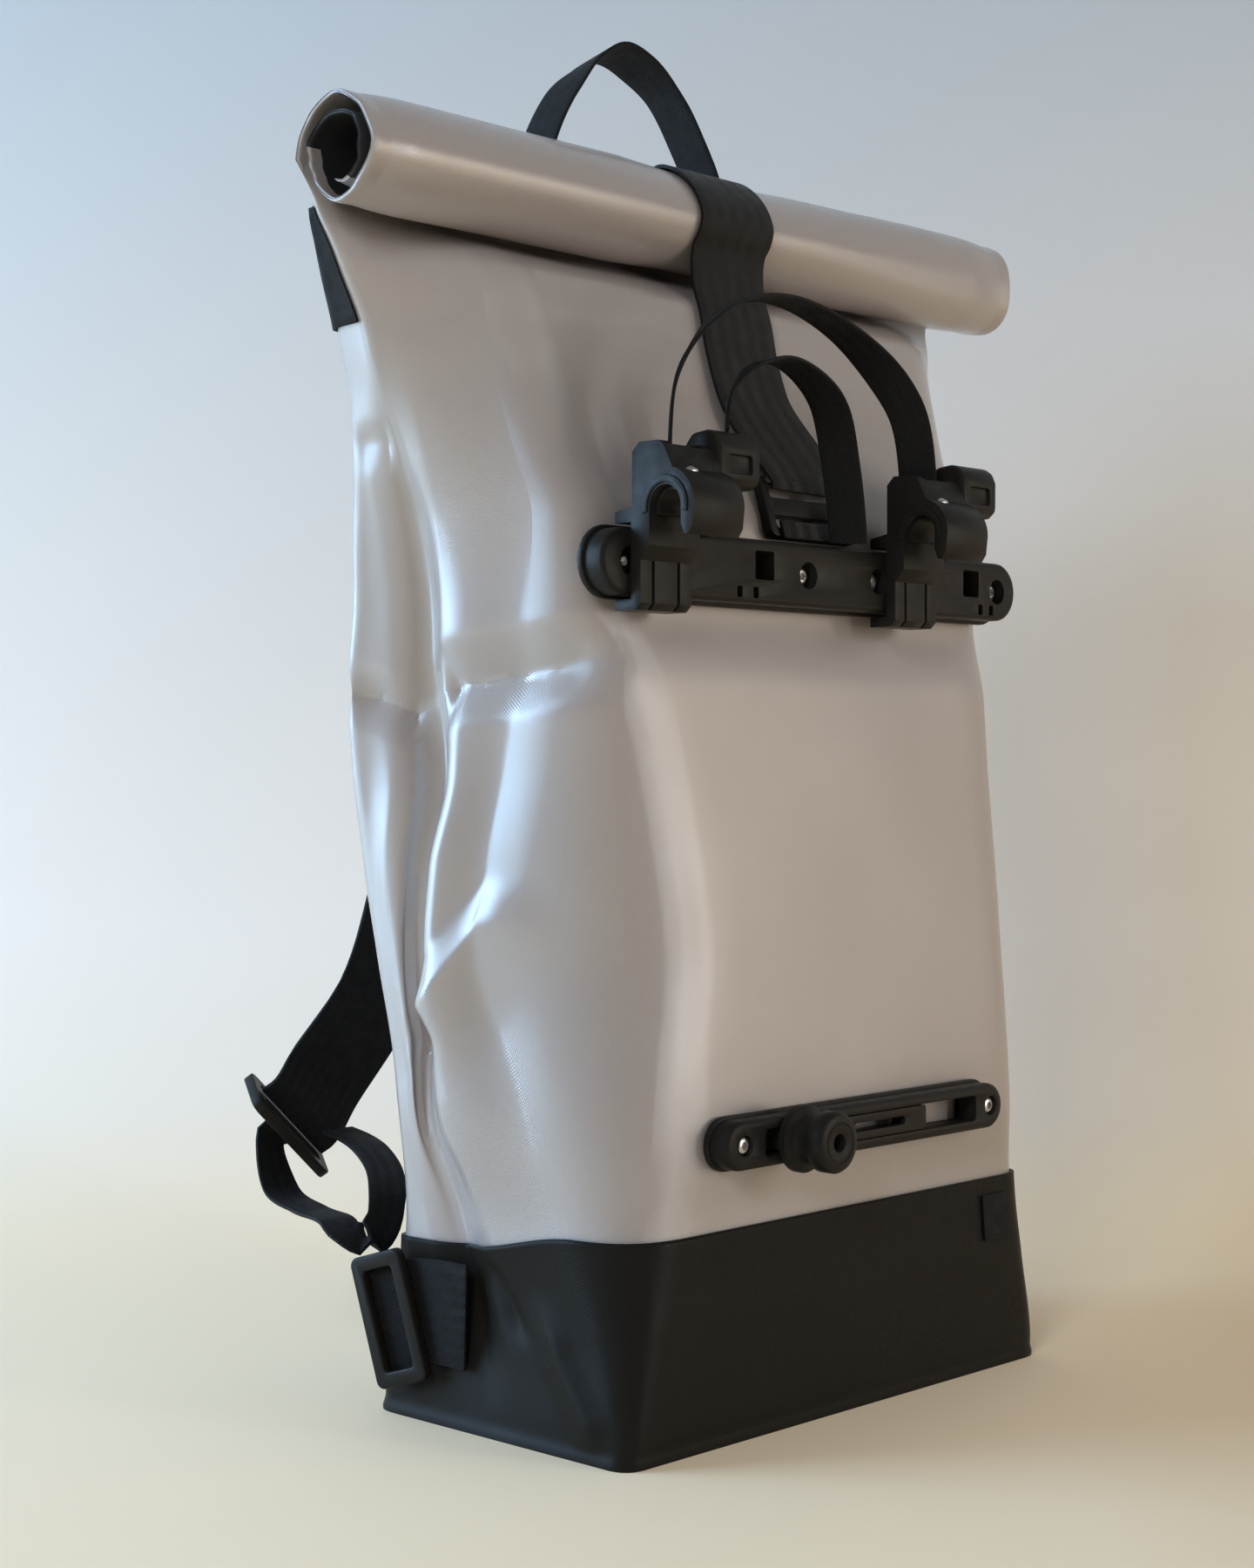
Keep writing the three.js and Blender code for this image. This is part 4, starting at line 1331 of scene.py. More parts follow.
    def _darken_inside(self, form: Mesh, first: int, angles: Sequence[float]) -> None:
        """Gives the inner turn of the roll, and the inner layer of the outer turn, a dark copy of the tarp as
        painted shade.

        Args:
            form: The tube, whose faces are changed.
            first: The number of upright rows.
            angles: The angles of the rolled rows.
        """
        flat_map = form.loops.layers.uv.active
        corners = [corner[flat_map].uv for face in form.faces for corner in face.loops]
        rows = sorted({round(place.y, 6) for place in corners})
        columns = sorted({round(place.x, 6) for place in corners})
        folds = self.tube.outline(self.tube.section(self.tube.roll.centre_z))[1].values()
        left, right = columns[min(folds)], columns[max(folds)]
        turns = (self.inside_from, self.inside_low, self.inside_both, self.inside_to)
        limits = [math.radians(turn) for turn in turns]
        first_row, low_row, both, last_row = (
            rows[first + sum(angle < limit for angle in angles)] for limit in limits
        )
        for face in form.faces:
            middle = sum((corner[flat_map].uv for corner in face.loops), Vector((0, 0))) / len(face.loops)
            margin = (self.pale_end if middle.y < low_row else self.dark_end) * MM
            inner = both < middle.y or left + margin < middle.x < right - margin
            if first_row < middle.y < last_row and inner:
                face.material_index = 1


@dataclass
class Boot:
    """The black boot that closes the bottom of the tube, with a welted edge round its floor."""

    tube: BagTube
    finishes: Finishes
    wall: float = 1.6
    top: float = 92.0
    dip: float = 11.0
    height_step: float = 2.0
    dip_from: float = -45.0
    dip_span: float = 75.0
    ripple: float = 0.8
    ripple_foot: float = 30.0
    ripple_top: float = 25.0
    welt: float = 1.2
    welt_height: float = 5.0
    floor_inset: float = 6.0
    creases: tuple[Crease, ...] = (
        Crease(Side.LEFT, ((0, 8), (0, 50), (0, 96)), 5.0, 15.0, 18.0, 50.0, 0.0),
        Crease(Side.LEFT, ((70, 6), (52, 40), (44, 70)), -3.0, 12.0, 18.0, 12.0, 30.0),
        Crease(Side.LEFT, ((14, 80), (24, 60), (30, 40)), 2.5, 9.0, 12.0, 10.0, 16.0),
        Crease(Side.RIGHT, ((0, 8), (0, 50), (0, 96)), 5.0, 15.0, 18.0, 50.0, 0.0),
    )

    def _row(self, z: float) -> list[Vector]:
        """Gives one row of the wall, with the welt standing out at its foot.

        Args:
            z: The row's height.

        Returns:
            The row's points.
        """
        half = self.welt_height / 2
        welt = self.welt * (1 - smooth_step((z - half) / half))
        ripple = self.ripple * smooth_step(z / self.ripple_foot)
        ripple *= smooth_step((self.top - z) / self.ripple_top)
        return self.tube.ring(z, -welt, self.creases, ripple)

    def build(self) -> None:
        """Makes the wall and the floor as one sheet."""
        count_rows = round(self.top / self.height_step)
        rows = [self._row(self.top * step / count_rows) for step in range(count_rows + 1)]
        count = len(rows[0])
        around = self.tube.lengths(rows[0])
        dips = [smooth_step((here.y - self.dip_from) / self.dip_span) for here in rows[-1]]
        shares = [1 - self.dip / self.top * dip for dip in dips]

        def place(column: int, row: int) -> Vector:
            """Gives the shaped place of a column and row, on a wall that dips towards the back."""
            climbed = row * shares[column % count]
            lower = min(int(climbed), count_rows - 1)
            return rows[lower][column % count].lerp(rows[lower + 1][column % count], climbed - lower)

        def lay(column: int, row: int) -> Flat:
            """Gives the flat place of a column and row."""
            return around[column], self.top * row / count_rows

        form = cloth_grid(count, count_rows, place, lay)
        bmesh.ops.remove_doubles(form, verts=form.verts, dist=WELD * MM)
        low_edges = [edge for edge in form.edges if edge.is_boundary and edge.verts[0].co.z < MM]
        floor = bmesh.ops.edgeloop_fill(form, edges=low_edges)["faces"]
        bmesh.ops.inset_region(form, faces=floor, thickness=self.floor_inset * MM, use_even_offset=True)
        bmesh.ops.recalc_face_normals(form, faces=form.faces)
        boot = publish("boot_sheet", form, (self.finishes.boot,), ("base_boot",))
        thicken(boot, self.wall, -1.0)


@dataclass
class BackBand:
    """The webbing band across the top of the back, from fold to fold, which carries the straps."""

    tube: BagTube
    finishes: Finishes
    low: float = 485.0
    high: float = 532.0
    lift: float = 0.6
    thickness: float = 1.6
    rows: int = 12

    def _back_line(self, z: float) -> list[Vector]:
        """Gives the back of the turn at a height, from the right fold to the left one.

        Args:
            z: The height.

        Returns:
            The line's points.
        """
        row = self.tube.section(z)
        points, folds = self.tube.outline(row)
        lifted = self.tube.inset(points, [-self.lift] * len(points))
        line = lifted[folds[Side.RIGHT] + 2 :] + lifted[: folds[Side.LEFT] - 1]
        return [Vector((place.x + row.shift, place.y, z)) for place in line]

    def face(self, z: float) -> float:
        """Gives how far behind the middle plane the outside of the band lies."""
        return self.tube.section(z).back_y + self.lift + self.thickness

    def build(self) -> None:
        """Makes the band as one strip of webbing."""
        heights = [self.low + (self.high - self.low) * step / self.rows for step in range(self.rows + 1)]
        lines = [self._back_line(z) for z in heights]
        count = len(lines[0]) - 1
        along = self.tube.lengths(lines[0])
        form = cloth_grid(
            count,
            self.rows,
            lambda column, row: lines[row][column],
            lambda column, row: (heights[row] - self.low, along[column]),
        )
        band = publish("band_webbing", form, (self.finishes.webbing,), ("back_band",))
        thicken(band, self.thickness, 1.0)


def slotted(
    outline: Sequence[Flat],
    holes: Sequence[Sequence[Flat]],
    depth: float,
    centre: Vector,
    across: Vector,
    up: Vector,
) -> Mesh:
    """Makes a flat buckle with holes right through it.

    Args:
        outline: The buckle's outline about its centre.
        holes: The outlines of its holes.
        depth: How thick the buckle is.
        centre: Its middle.
        across: The direction of the outlines' x.
        up: The direction of the outlines' y.

    Returns:
        The form, in millimetres.
    """
    facing = across.cross(up)
    body = plate(outline, depth, frame_of(centre - facing * (depth / 2), across, up))
    through = frame_of(centre - facing * depth, across, up)
    return carve(body, [plate(hole, depth * 2, through) for hole in holes])


@dataclass
class Closure:
    """The wide strap over the roll, its ladder buckle, and the loop that ties the buckle to the rail."""

    tube: BagTube
    band: BackBand
    finishes: Finishes
    width: float = 50.0
    thickness: float = 1.6
    gap: float = 0.3
    top_x: float = -17.0
    bottom_x: float = 4.0
    back_heights: tuple[float, ...] = (490, 512)
    roll_turns: range = range(0, 211, 15)
    roll_lift: float = 2.9
    front_places: tuple[Flat, ...] = ((-19.4, 520), (-24, 505), (-28.2, 486))
    turn_place: Vector = field(default_factory=lambda: point(-13, -34.4, 462))
    buckle_y: float = -48.8
    buckle_z: float = 414.0
    buckle_tall: float = 30.0
    buckle_deep: float = 5.0
    buckle_lean: float = 0.3
    buckle_side: float = 6.0
    buckle_round: float = 4.0
    buckle_rim: float = 0.7
    slot_tall: float = 6.0
    slot_round: float = 1.5
    slot_spare: float = 2.0
    lip_tall: float = 4.0
    lip_round: float = 1.8
    lip_drop: float = 2.2
    lip_proud: float = 1.6
    lip_inset: float = 2.0
    lip_rim: float = 0.8
    rail_top: float = 398.0

    def _on_buckle(self, height: float) -> Vector:
        """Gives the middle of a strap on the buckle's front, at a height above the buckle's middle.

        Args:
            height: The height along the buckle.

        Returns:
            The place.
        """
        front = self.buckle_deep / 2 + self.gap + self.thickness / 2
        sine, cosine = math.sin(self.buckle_lean), math.cos(self.buckle_lean)
        y = self.buckle_y + height * sine - front * cosine
        return point(self.bottom_x, y, self.buckle_z + height * cosine + front * sine)

    def _strap_places(self) -> list[Vector]:
        """Gives the strap's middle line, from the back band over the roll to the buckle.

        Returns:
            The places in order.
        """
        standoff = self.gap * 2 + self.thickness / 2
        heights = (*self.back_heights, self.band.high)
        places = [point(self.top_x, self.band.face(z) + standoff, z) for z in heights]
        roll = self.tube.roll
        places += [roll.point(self.top_x, math.radians(turn), self.roll_lift) for turn in self.roll_turns]
        places += [point(self.top_x, y, z) for y, z in self.front_places]
        places.append(self.turn_place)
        return places + [self._on_buckle(self.buckle_tall / 2 + 1), self._on_buckle(self.buckle_tall / 4)]

    def build(self) -> None:
        """Makes the strap, the buckle and the loop."""
        foot = (self.buckle_z - self.rail_top - self.gap) / math.cos(self.buckle_lean)
        loop = (self._on_buckle(-foot), self._on_buckle(-self.buckle_tall / 4))
        strap = ("closure_belt", "closure_strap", self._strap_places(), "stretched")
        for name, node, places, held in (strap, ("buckle_loop", "buckle_anchor", loop, "")):
            stops = [Stop(place, ACROSS) for place in places]
            Strap(name, stops, self.width, self.thickness).build(self.finishes.belt, node, held)
        self._build_buckle()

    def _build_buckle(self) -> None:
        """Makes the ladder buckle: a frame with two slots, and a raised lip along its top bar."""
        up = Vector((0, math.sin(self.buckle_lean), math.cos(self.buckle_lean)))
        centre = point(self.bottom_x, self.buckle_y, self.buckle_z)
        wide = self.width + self.buckle_side * 2
        slot = (self.width + self.slot_spare, self.slot_tall, self.slot_round)
        slots = [rounded_rectangle(*slot, (0, half * self.buckle_tall / 4)) for half in (-1, 1)]
        outline = rounded_rectangle(wide, self.buckle_tall, self.buckle_round)
        body = slotted(outline, slots, self.buckle_deep, centre, ACROSS, up)
        top = (0, self.buckle_tall / 2 - self.lip_drop)
        lip = plate(
            rounded_rectangle(wide - self.lip_inset * 2, self.lip_tall, self.lip_round, top),
            self.buckle_deep + self.lip_proud,
            frame_of(centre - ACROSS.cross(up) * (self.buckle_deep / 2), ACROSS, up),
            self.lip_rim,
        )
        mould("ladder_buckle", gather((soften(body, self.buckle_rim), lip)), self.finishes, "closure_buckle")


@dataclass
class CarryHandle:
    """The webbing arch at the top of the back."""

    band: BackBand
    finishes: Finishes
    width: float = 24.0
    foot_z: float = 506.0
    gap: float = 0.3
    tipped: Vector = field(default_factory=lambda: Vector((0, 0.97, -0.23)))

    def build(self) -> None:
        """Makes the arch, whose front edge tips up at the top."""
        y = self.band.face(self.foot_z) + self.gap + self.width / 2
        left = ((-80, self.foot_z), (-77, 555), (-65, 595), (-50, 620))
        top = ((-33, 637), (-16, 646), (3, 642))
        right = ((24, 629), (39, 611), (52, 590), (62, 555), (65, self.foot_z))
        stops = [
            Stop(point(x, y, z), wide)
            for places, wide in ((left, BACKWARD), (top, self.tipped), (right, BACKWARD))
            for x, z in places
        ]
        Strap("handle_webbing", stops, self.width).build(self.finishes.webbing, "carry_handle", "stretched")


@dataclass
class Harness:
    """One side's shoulder strap, slider, adjuster webbing, corner buckle and tab.

    Places are given for the right side, and directions point from it towards the middle.
    """

    side: Side
    band: BackBand
    finishes: Finishes
    shoulder_width: float = 50.0
    shoulder_thickness: float = 3.0
    top_x: float = 70.0
    top_z: float = 504.0
    leave_z: float = 470.0
    leave_back: float = 20.0
    shoulder_route: tuple[tuple[Triple, Triple], ...] = (
        ((72, 96, 400), (1, 0, 0)),
        ((74, 122, 320), (1, 0, 0)),
        ((75, 143, 228), (0.97, 0, -0.25)),
        ((86, 153, 180), (0.9, 0, -0.43)),
        ((112, 163, 140), (0.8, -0.01, -0.6)),
    )
    shoulder_lead: float = 9.0
    slider_at: Triple = (132, 167, 119)
    slider_along: Triple = (0.72, -0.02, -0.69)
    slider_towards: Triple = (0.554, -0.581, 0.596)
    slider_width: float = 58.0
    slider_height: float = 30.0
    slider_deep: float = 5.0
    slider_round: float = 5.0
    slider_rim: float = 1.4
    slider_slot: Triple = (44.0, 5.5, 1.5)
    slider_slot_lift: float = 6.5
    adjuster_width: float = 18.0
    adjuster_lead: float = 7.0
    adjuster_wide: Triple = (0.966, -0.259, 0)
    adjuster_route: tuple[Triple, ...] = (
        (141, 160, 90), (146, 132, 84), (156, 100, 84), (159, 89, 80), (151, 82.5, 77), (143, 82, 84),
        (139, 84, 95), (130, 96, 104), (121, 116, 111), (113, 138, 114), (111, 154, 116),
    )
    buckle_at: Triple = (158.3, 59.4, 45.2)
    buckle_level: Flat = (0.15, 0.989)
    buckle_width: float = 30.0
    buckle_height: float = 60.0
    buckle_deep: float = 5.0
    buckle_round: float = 4.0
    buckle_rim: float = 1.1
    buckle_lean: float = 0.3
    window: Triple = (17.0, 46.0, 2.0)
    tab_width: float = 47.0
    tab_short: float = 2.0
    tab_route: tuple[Triple, ...] = ((150.0, 18, 5), (151.3, 33, 5.4))
    gap: float = 0.3
    web: float = 1.6

    def __post_init__(self) -> None:
        """Places the slider, which lies across the end of the shoulder strap."""
        self.slider_middle = self._at(*self.slider_at)
        self.slider_long = self._across(*self.slider_along)
        facing = self._across(*self.slider_towards)
        self.slider_facing = (facing - self.slider_long * facing.dot(self.slider_long)).normalized()

    def _at(self, x: float, y: float, z: float) -> Vector:
        """Gives a point on this side."""
        return point(self.side.value * x, y, z)

    def _across(self, x: float, y: float, z: float) -> Vector:
        """Gives a direction that points from this side towards the middle."""
        return Vector((-self.side.value * x, y, z)).normalized()

    def _on_slider(self, distance: float) -> Stop:
        """Gives a stop off the slider's middle, on the side that the shoulder strap comes from."""
        return Stop(self.slider_middle + self.slider_facing * distance, self.slider_long)

    def build(self) -> None:
        """Makes the side's pieces from top to bottom."""
        self._build_shoulder()
        self._build_slider()
        self._build_adjuster()
        self._build_corner()

    def _build_shoulder(self) -> None:
        """Makes the shoulder strap."""
        top_y = self.band.face(self.top_z) + self.gap + self.web
        level = self._across(1, 0, 0)
        half = self.slider_deep / 2
        stops = [
            Stop(self._at(self.top_x, top_y, self.top_z), level),
            Stop(self._at(self.top_x, top_y + self.leave_back, self.leave_z), level),
        ]
        stops += [Stop(self._at(*place), self._across(*wide)) for place, wide in self.shoulder_route]
        stops += [self._on_slider(half + self.shoulder_lead), self._on_slider(half + self.gap * 2)]
        name = f"shoulder_webbing_{self.side.word}"
        strap = Strap(name, stops, self.shoulder_width, self.shoulder_thickness)
        strap.build(self.finishes.webbing, f"shoulder_strap_{self.side.word}", "hung")

    def _build_slider(self) -> None:
        """Makes the slider: a frame with two slots."""
        up = self.slider_facing.cross(self.slider_long)
        outline = rounded_rectangle(self.slider_width, self.slider_height, self.slider_round)
        slots = [
            rounded_rectangle(*self.slider_slot, (0, half * self.slider_slot_lift)) for half in (-1, 1)
        ]
        form = slotted(outline, slots, self.slider_deep, self.slider_middle, self.slider_long, up)
        name = self.side.word
        mould(f"slider_{name}", soften(form, self.slider_rim, 3), self.finishes, f"strap_slider_{name}")

    def _build_adjuster(self) -> None:
        """Makes the narrow webbing that loops from the slider to the corner buckle and back."""
        wide = self._across(*self.adjuster_wide)
        half = self.slider_deep / 2
        stops = [self._on_slider(-half - self.gap * 2), self._on_slider(-half - self.adjuster_lead)]
        stops += [Stop(self._at(*place), wide) for place in self.adjuster_route]
        strap = Strap(f"adjuster_webbing_{self.side.word}", stops, self.adjuster_width)
        strap.build(self.finishes.webbing, f"adjuster_web_{self.side.word}", "hung")

    def _build_corner(self) -> None:
        """Makes the tall corner buckle, and the tab behind it that ties it to the boot."""
        sign = self.side.value
        middle = self._at(*self.buckle_at)
        level = Vector((sign * self.buckle_level[0], self.buckle_level[1], 0)).normalized()
        sine, cosine = math.sin(self.buckle_lean), math.cos(self.buckle_lean)
        up = level * sine + Vector((0, 0, cosine))
        wide = level * cosine - Vector((0, 0, sine))
        outline = rounded_rectangle(self.buckle_width, self.buckle_height, self.buckle_round)
        form = slotted(outline, [rounded_rectangle(*self.window)], self.buckle_deep, middle, wide, up)
        name = self.side.word
        mould(f"tall_buckle_{name}", soften(form, self.buckle_rim, 3), self.finishes, f"corner_buckle_{name}")
        facing = wide.cross(up)
        inward = facing * (-sign * math.copysign(1.0, facing.x))
        behind = middle + inward * (self.buckle_deep / 2 + self.gap * 2 + self.web / 2)
        half = self.buckle_width / 2
        stops = [Stop(self._at(x, y, behind.z + rise), UPWARD) for x, y, rise in self.tab_route]
        stops += [
            Stop(behind - wide * half + inward, up),
            Stop(behind, up),
            Stop(behind + wide * (half - self.tab_short), up),
        ]
        tab = Strap(f"tab_webbing_{name}", stops, self.tab_width)
        tab.build(self.finishes.webbing, f"corner_tab_{name}", "stretched")


@dataclass
class SocketScrew:
    """A steel screw with a domed head and a hexagon socket, in the place of its CAD node."""

    node: str
    finishes: Finishes
    dome: float = 1.6
    proud: float = 2.0
    socket_share: float = 0.45
    socket_depth: float = 2.0

    def build(self) -> None:
        """Makes the screw."""
        length, depth, _, frame = node_front(self.node)
        radius = length / 2
        socket = self.socket_share * radius
        form = socket_head(radius, depth + self.proud, self.dome, socket, self.socket_depth, frame)
        publish(f"steel_{self.node}", to_metres(form), (self.finishes.steel,), (self.node,))


def socket_head(
    radius: float, depth: float, dome: float, socket: float, socket_depth: float, frame: Matrix
) -> Mesh:
    """Turns a screw head and cuts its hexagon socket.

    Args:
        radius: The head's radius.
        depth: The head's height.
        dome: How far the top rises within that height.
        socket: The socket's radius.
        socket_depth: How deep the socket is.
        frame: The place, with z out of the head.

    Returns:
        The form, in millimetres.
    """
    edge = depth - dome
    profile = [(0, 0), (radius, 0), *((radius * out, edge + dome * up) for out, up in DOME)]
    profile += [(socket + SOCKET_LIP, depth), (0, depth)]
    bottom = frame @ Matrix.Translation((0, 0, depth - socket_depth))
    hexagon = plate(circle((0, 0), socket, 6), socket_depth * 2, bottom)
    return carve(turned(profile, frame, HEAD_STEPS), [hexagon])


def screw_wells(
    rail: str, count: int, radius: float, depth: float, frame: Matrix, finishes: Finishes
) -> list[Mesh]:
    """Makes a rail's screws, and the cutters of the wells that they sit in.

    Args:
        rail: The rail's word in the names of its screws.
        count: How many screws it has.
        radius: The radius of a well.
        depth: How far a cutter reaches.
        frame: The frame of the wells' bottoms, whose x is the bag's.
        finishes: The backpack's finishes.

    Returns:
        The cutters, in millimetres.
    """
    cutters = []
    for index in range(1, count + 1):
        name = f"{rail}_screw_{index}"
        cutters.append(plate(circle((middle_x(name), 0), radius, WELL_STEPS), depth, frame))
        SocketScrew(name, finishes).build()
    return cutters


@dataclass
class UpperRail:
    """The rail that carries the rack hooks: a flanged bar with screw wells, windows and detent slots.

    A window and a detent are a width, a height and the radius of their corners.
    """

    finishes: Finishes
    flange_depth: float = 3.0
    flange_step: float = 1.6
    flange_rim: float = 0.8
    floor: float = 4.0
    rim: float = 2.2
    cut_rim: float = 0.5
    well_radius: float = 6.2
    window: Triple = (13.0, 13.0, 1.2)
    window_lift: float = 3.0
    window_x: tuple[float, ...] = (-45.0, 112.0)
    detent: Triple = (3.6, 5.0, 0.6)
    detent_drop: float = 9.5
    detent_depth: float = 4.0
    detent_x: tuple[float, ...] = (-116.0, -106.0, -62.0, -51.0, 64.0, 74.0, 120.0, 129.0)
    screws: int = 4

    def build(self) -> None:
        """Makes the rail and its screws."""
        length, depth, height, frame = node_front("upper_rail")
        step = self.flange_step * 2
        flange = plate(stadium(length, height), self.flange_depth, frame, self.flange_rim)
        inner = plate(stadium(length - step, height - step), depth, frame, self.rim, 3)
        wells = frame @ Matrix.Translation((0, 0, self.floor))
        shallow = frame @ Matrix.Translation((0, 0, depth - self.detent_depth))
        windows = [rounded_rectangle(*self.window, (x, self.window_lift)) for x in self.window_x]
        detents = [rounded_rectangle(*self.detent, (x, -self.detent_drop)) for x in self.detent_x]
        cutters = [plate(window, depth, wells) for window in windows]
        cutters += [plate(detent, depth, shallow) for detent in detents]
        cutters += screw_wells("upper", self.screws, self.well_radius, depth, wells, self.finishes)
        form = gather((flange, soften(carve(inner, cutters), self.cut_rim)))
        mould("rack_rail", form, self.finishes, "upper_rail")


@dataclass
class RackHook:
    """A rack hook: a jaw that is open below, a clip round the rail, a pin for the pull strap, and its lever.

    Profiles are drawn in Y and Z. Those of the tower, the paddle and the link start from the rail's front and
    top, those of the nose and the throat from the jaw's middle, and the clip's from the rail's front and
    bottom.
    """

    side: Side
    finishes: Finishes
    rail_front: float = -66.0
    rail_top: float = 398.0
    rail_bottom: float = 366.0
    jaw: Flat = (-20, 6)
    jaw_inner: float = 9.0
    jaw_outer: float = 16.5
    tower: tuple[Flat, ...] = ((9, 0.3), (9, 5), (-1, 7), (-1, 30), (-5, 34), (-16, 34), (-19, 32))
    nose: tuple[Flat, ...] = ((-15.5, -9), (-13, -12.5), (-11, -12.5), (-9, -8))
    throat: tuple[Flat, ...] = ((9, -16), (14, -22))
    clip: tuple[Flat, ...] = ((-6, -2), (-3, -5), (9, -5), (9, -0.3), (-0.3, -0.3))
    corner: Flat = (-0.3, 0.3)
    body_rim: float = 0.9
    groove: Triple = (1.8, 26.0, 0.4)
    groove_at: Triple = (8.0, -2.6, 3.0)
    groove_reach: float = 30.0
    ear_width: float = 6.0
    notch: Triple = (18.0, 11.0, 2.0)
    notch_at: Flat = (-10, 34)
    pin_at: Flat = (-10, 31.5)
    pin_radius: float = 2.6
    pin_inset: float = 1.0
    pin_steps: int = 20
    liner_radii: Flat = (0.1, -1.8)
    liner_turns: Flat = (200, -20)
    liner_inset: float = 4.0
    liner_edge: float = 0.4
    rim_radii: Flat = (4.2, 0.8)
    rim_turns: Flat = (195, -12)
    rim_proud: float = 0.8
    rim_edge: float = 0.6
    brow_up: Triple = (0, -0.43, 0.9)
    brow_at: Triple = (-5, -3.4, -3.0)
    brow_screw: tuple[float, ...] = (4.0, 3.4, 1.2, 1.7, 1.6)
    paddle: tuple[Flat, ...] = (
        (-1, 16), (-1, 36), (-5, 41), (-15, 42), (-20, 39), (-22, 34), (-22, 20), (-18, 17),
    )
    link: tuple[Flat, ...] = (
        (4, 0.3), (4, 6), (-1, 12), (-2, 20), (-14, 20), (-10, 12), (-8.5, 0.3),
    )
    link_inset: Flat = (1.0, 6.0)
    link_rim: float = 0.9
    lever_rim: float = 2.4
    face_rim: float = 0.5
    face_degrees: float = 50.0
    recess_at: Flat = (-20, 27)
    recess_tall: float = 8.0
    recess_round: float = 1.5
    recess_inset: float = 6.0
    recess_reach: float = 6.0

    def __post_init__(self) -> None:
        """Places the corner that the profiles start from, and the jaw's middle."""
        self.top = (self.rail_front, self.rail_top)
        self.jaw_middle = self._spot(self.jaw)

    def _spot(self, offset: Flat) -> Flat:
        """Gives the place at an offset from the rail's front and top."""
        return self.rail_front + offset[0], self.rail_top + offset[1]

    def _body_profile(self) -> list[Flat]:
        """Draws the hook's profile, from its lip behind the rail round the jaw to the clip.

        Returns:
            The points in order.
        """
        return [
            *shifted(self.tower, self.top),
            *arc(self.jaw_middle, self.jaw_outer, 105, 180, 10),
            *shifted(self.nose, self.jaw_middle),
            *arc(self.jaw_middle, self.jaw_inner, 180, 0, 14),
            *shifted(self.throat, self.jaw_middle),
            *shifted(self.clip, (self.rail_front, self.rail_bottom)),
            self._spot(self.corner),
        ]

    def _jaw_band(self, outer: float, inner: float, start: float, stop: float) -> list[Flat]:
        """Draws a band round the jaw, between two distances off its surface and two angles."""
        outside = arc(self.jaw_middle, self.jaw_inner + outer, start, stop, 16)
        return outside + arc(self.jaw_middle, self.jaw_inner + inner, stop, start, 16)

    def _build_body(self, low_x: float, width: float) -> None:
        """Makes the hook with its liner, ears and pin.

        Args:
            low_x: Where the hook starts across the bag.
            width: How wide it is.
        """
        body = plate(self._body_profile(), width, facing_side(low_x))
        half_apart, back, lift = self.groove_at
        grooves = [
            plate(
                rounded_rectangle(*self.groove),
                self.groove_reach,
                facing_front(low_x + width / 2 + apart, self.rail_front + back, self.rail_bottom + lift),
            )
            for apart in (-half_apart, half_apart)
        ]
        notch = plate(
            rounded_rectangle(*self.notch, self._spot(self.notch_at)),
            width - self.ear_width * 2,
            facing_side(low_x + self.ear_width),
        )
        cut = soften(carve(body, [*grooves, notch]), self.body_rim)
        liner_width = width - self.liner_inset * 2
        liner_frame = facing_side(low_x + self.liner_inset)
        liner_band = self._jaw_band(*self.liner_radii, *self.liner_turns)
        liner = plate(liner_band, liner_width, liner_frame, self.liner_edge)
        rim_band = self._jaw_band(*self.rim_radii, *self.rim_turns)
        rim_frame = facing_side(low_x - self.rim_proud)
        rim = plate(rim_band, width + self.rim_proud * 2, rim_frame, self.rim_edge)
        pin_place = (*self._spot(self.pin_at), 0)
        length = width - self.pin_inset * 2
        pin = turned(
            [(0, 0), (self.pin_radius, 0), (self.pin_radius, length), (0, length)],
            facing_side(low_x + self.pin_inset) @ Matrix.Translation(pin_place),
            self.pin_steps,
        )
        name = self.side.word
        mould(f"rack_hook_{name}", gather((cut, liner, rim, pin)), self.finishes, f"hook_{name}")

    def _build_screw(self, middle: float) -> None:
        """Makes the bright screw on the hook's sloping brow.

        Args:
            middle: The hook's middle across the bag.
        """
        jaw_y, jaw_z = self.jaw_middle
        x, y, z = self.brow_at
        place = point(middle + x, jaw_y + y, jaw_z + self.jaw_outer + z)
        head = socket_head(*self.brow_screw, frame_of(place, ACROSS, Vector(self.brow_up).normalized()))
        publish(f"hook_screw_{self.side.word}", to_metres(head), (self.finishes.steel,))

    def _build_lever(self) -> None:
        """Makes the latch lever: a paddle over a narrower link, with a recess in its face."""
        name = f"hook_lever_{self.side.word}"
        low, high = node_box(name)
        width = high.x - low.x
        recess = plate(
            rounded_rectangle(width - self.recess_inset * 2, self.recess_tall, self.recess_round),
            self.recess_reach,
            facing_front((low.x + high.x) / 2, *self._spot(self.recess_at)),
        )
        block = soften(plate(shifted(self.paddle, self.top), width, facing_side(low.x)), self.lever_rim, 3)
        face = soften(carve(block, [recess]), self.face_rim, degrees=self.face_degrees)
        foot_frame = facing_side(low.x + self.link_inset[0])
        foot = plate(shifted(self.link, self.top), width - sum(self.link_inset), foot_frame, self.link_rim)
        mould(f"latch_{self.side.word}", gather((face, foot)), self.finishes, name)

    def build(self) -> None:
        """Makes the hook, its screw and its lever."""
        low, high = node_box(f"hook_{self.side.word}")
        self._build_body(low.x, high.x - low.x)
        self._build_screw((low.x + high.x) / 2)
        self._build_lever()


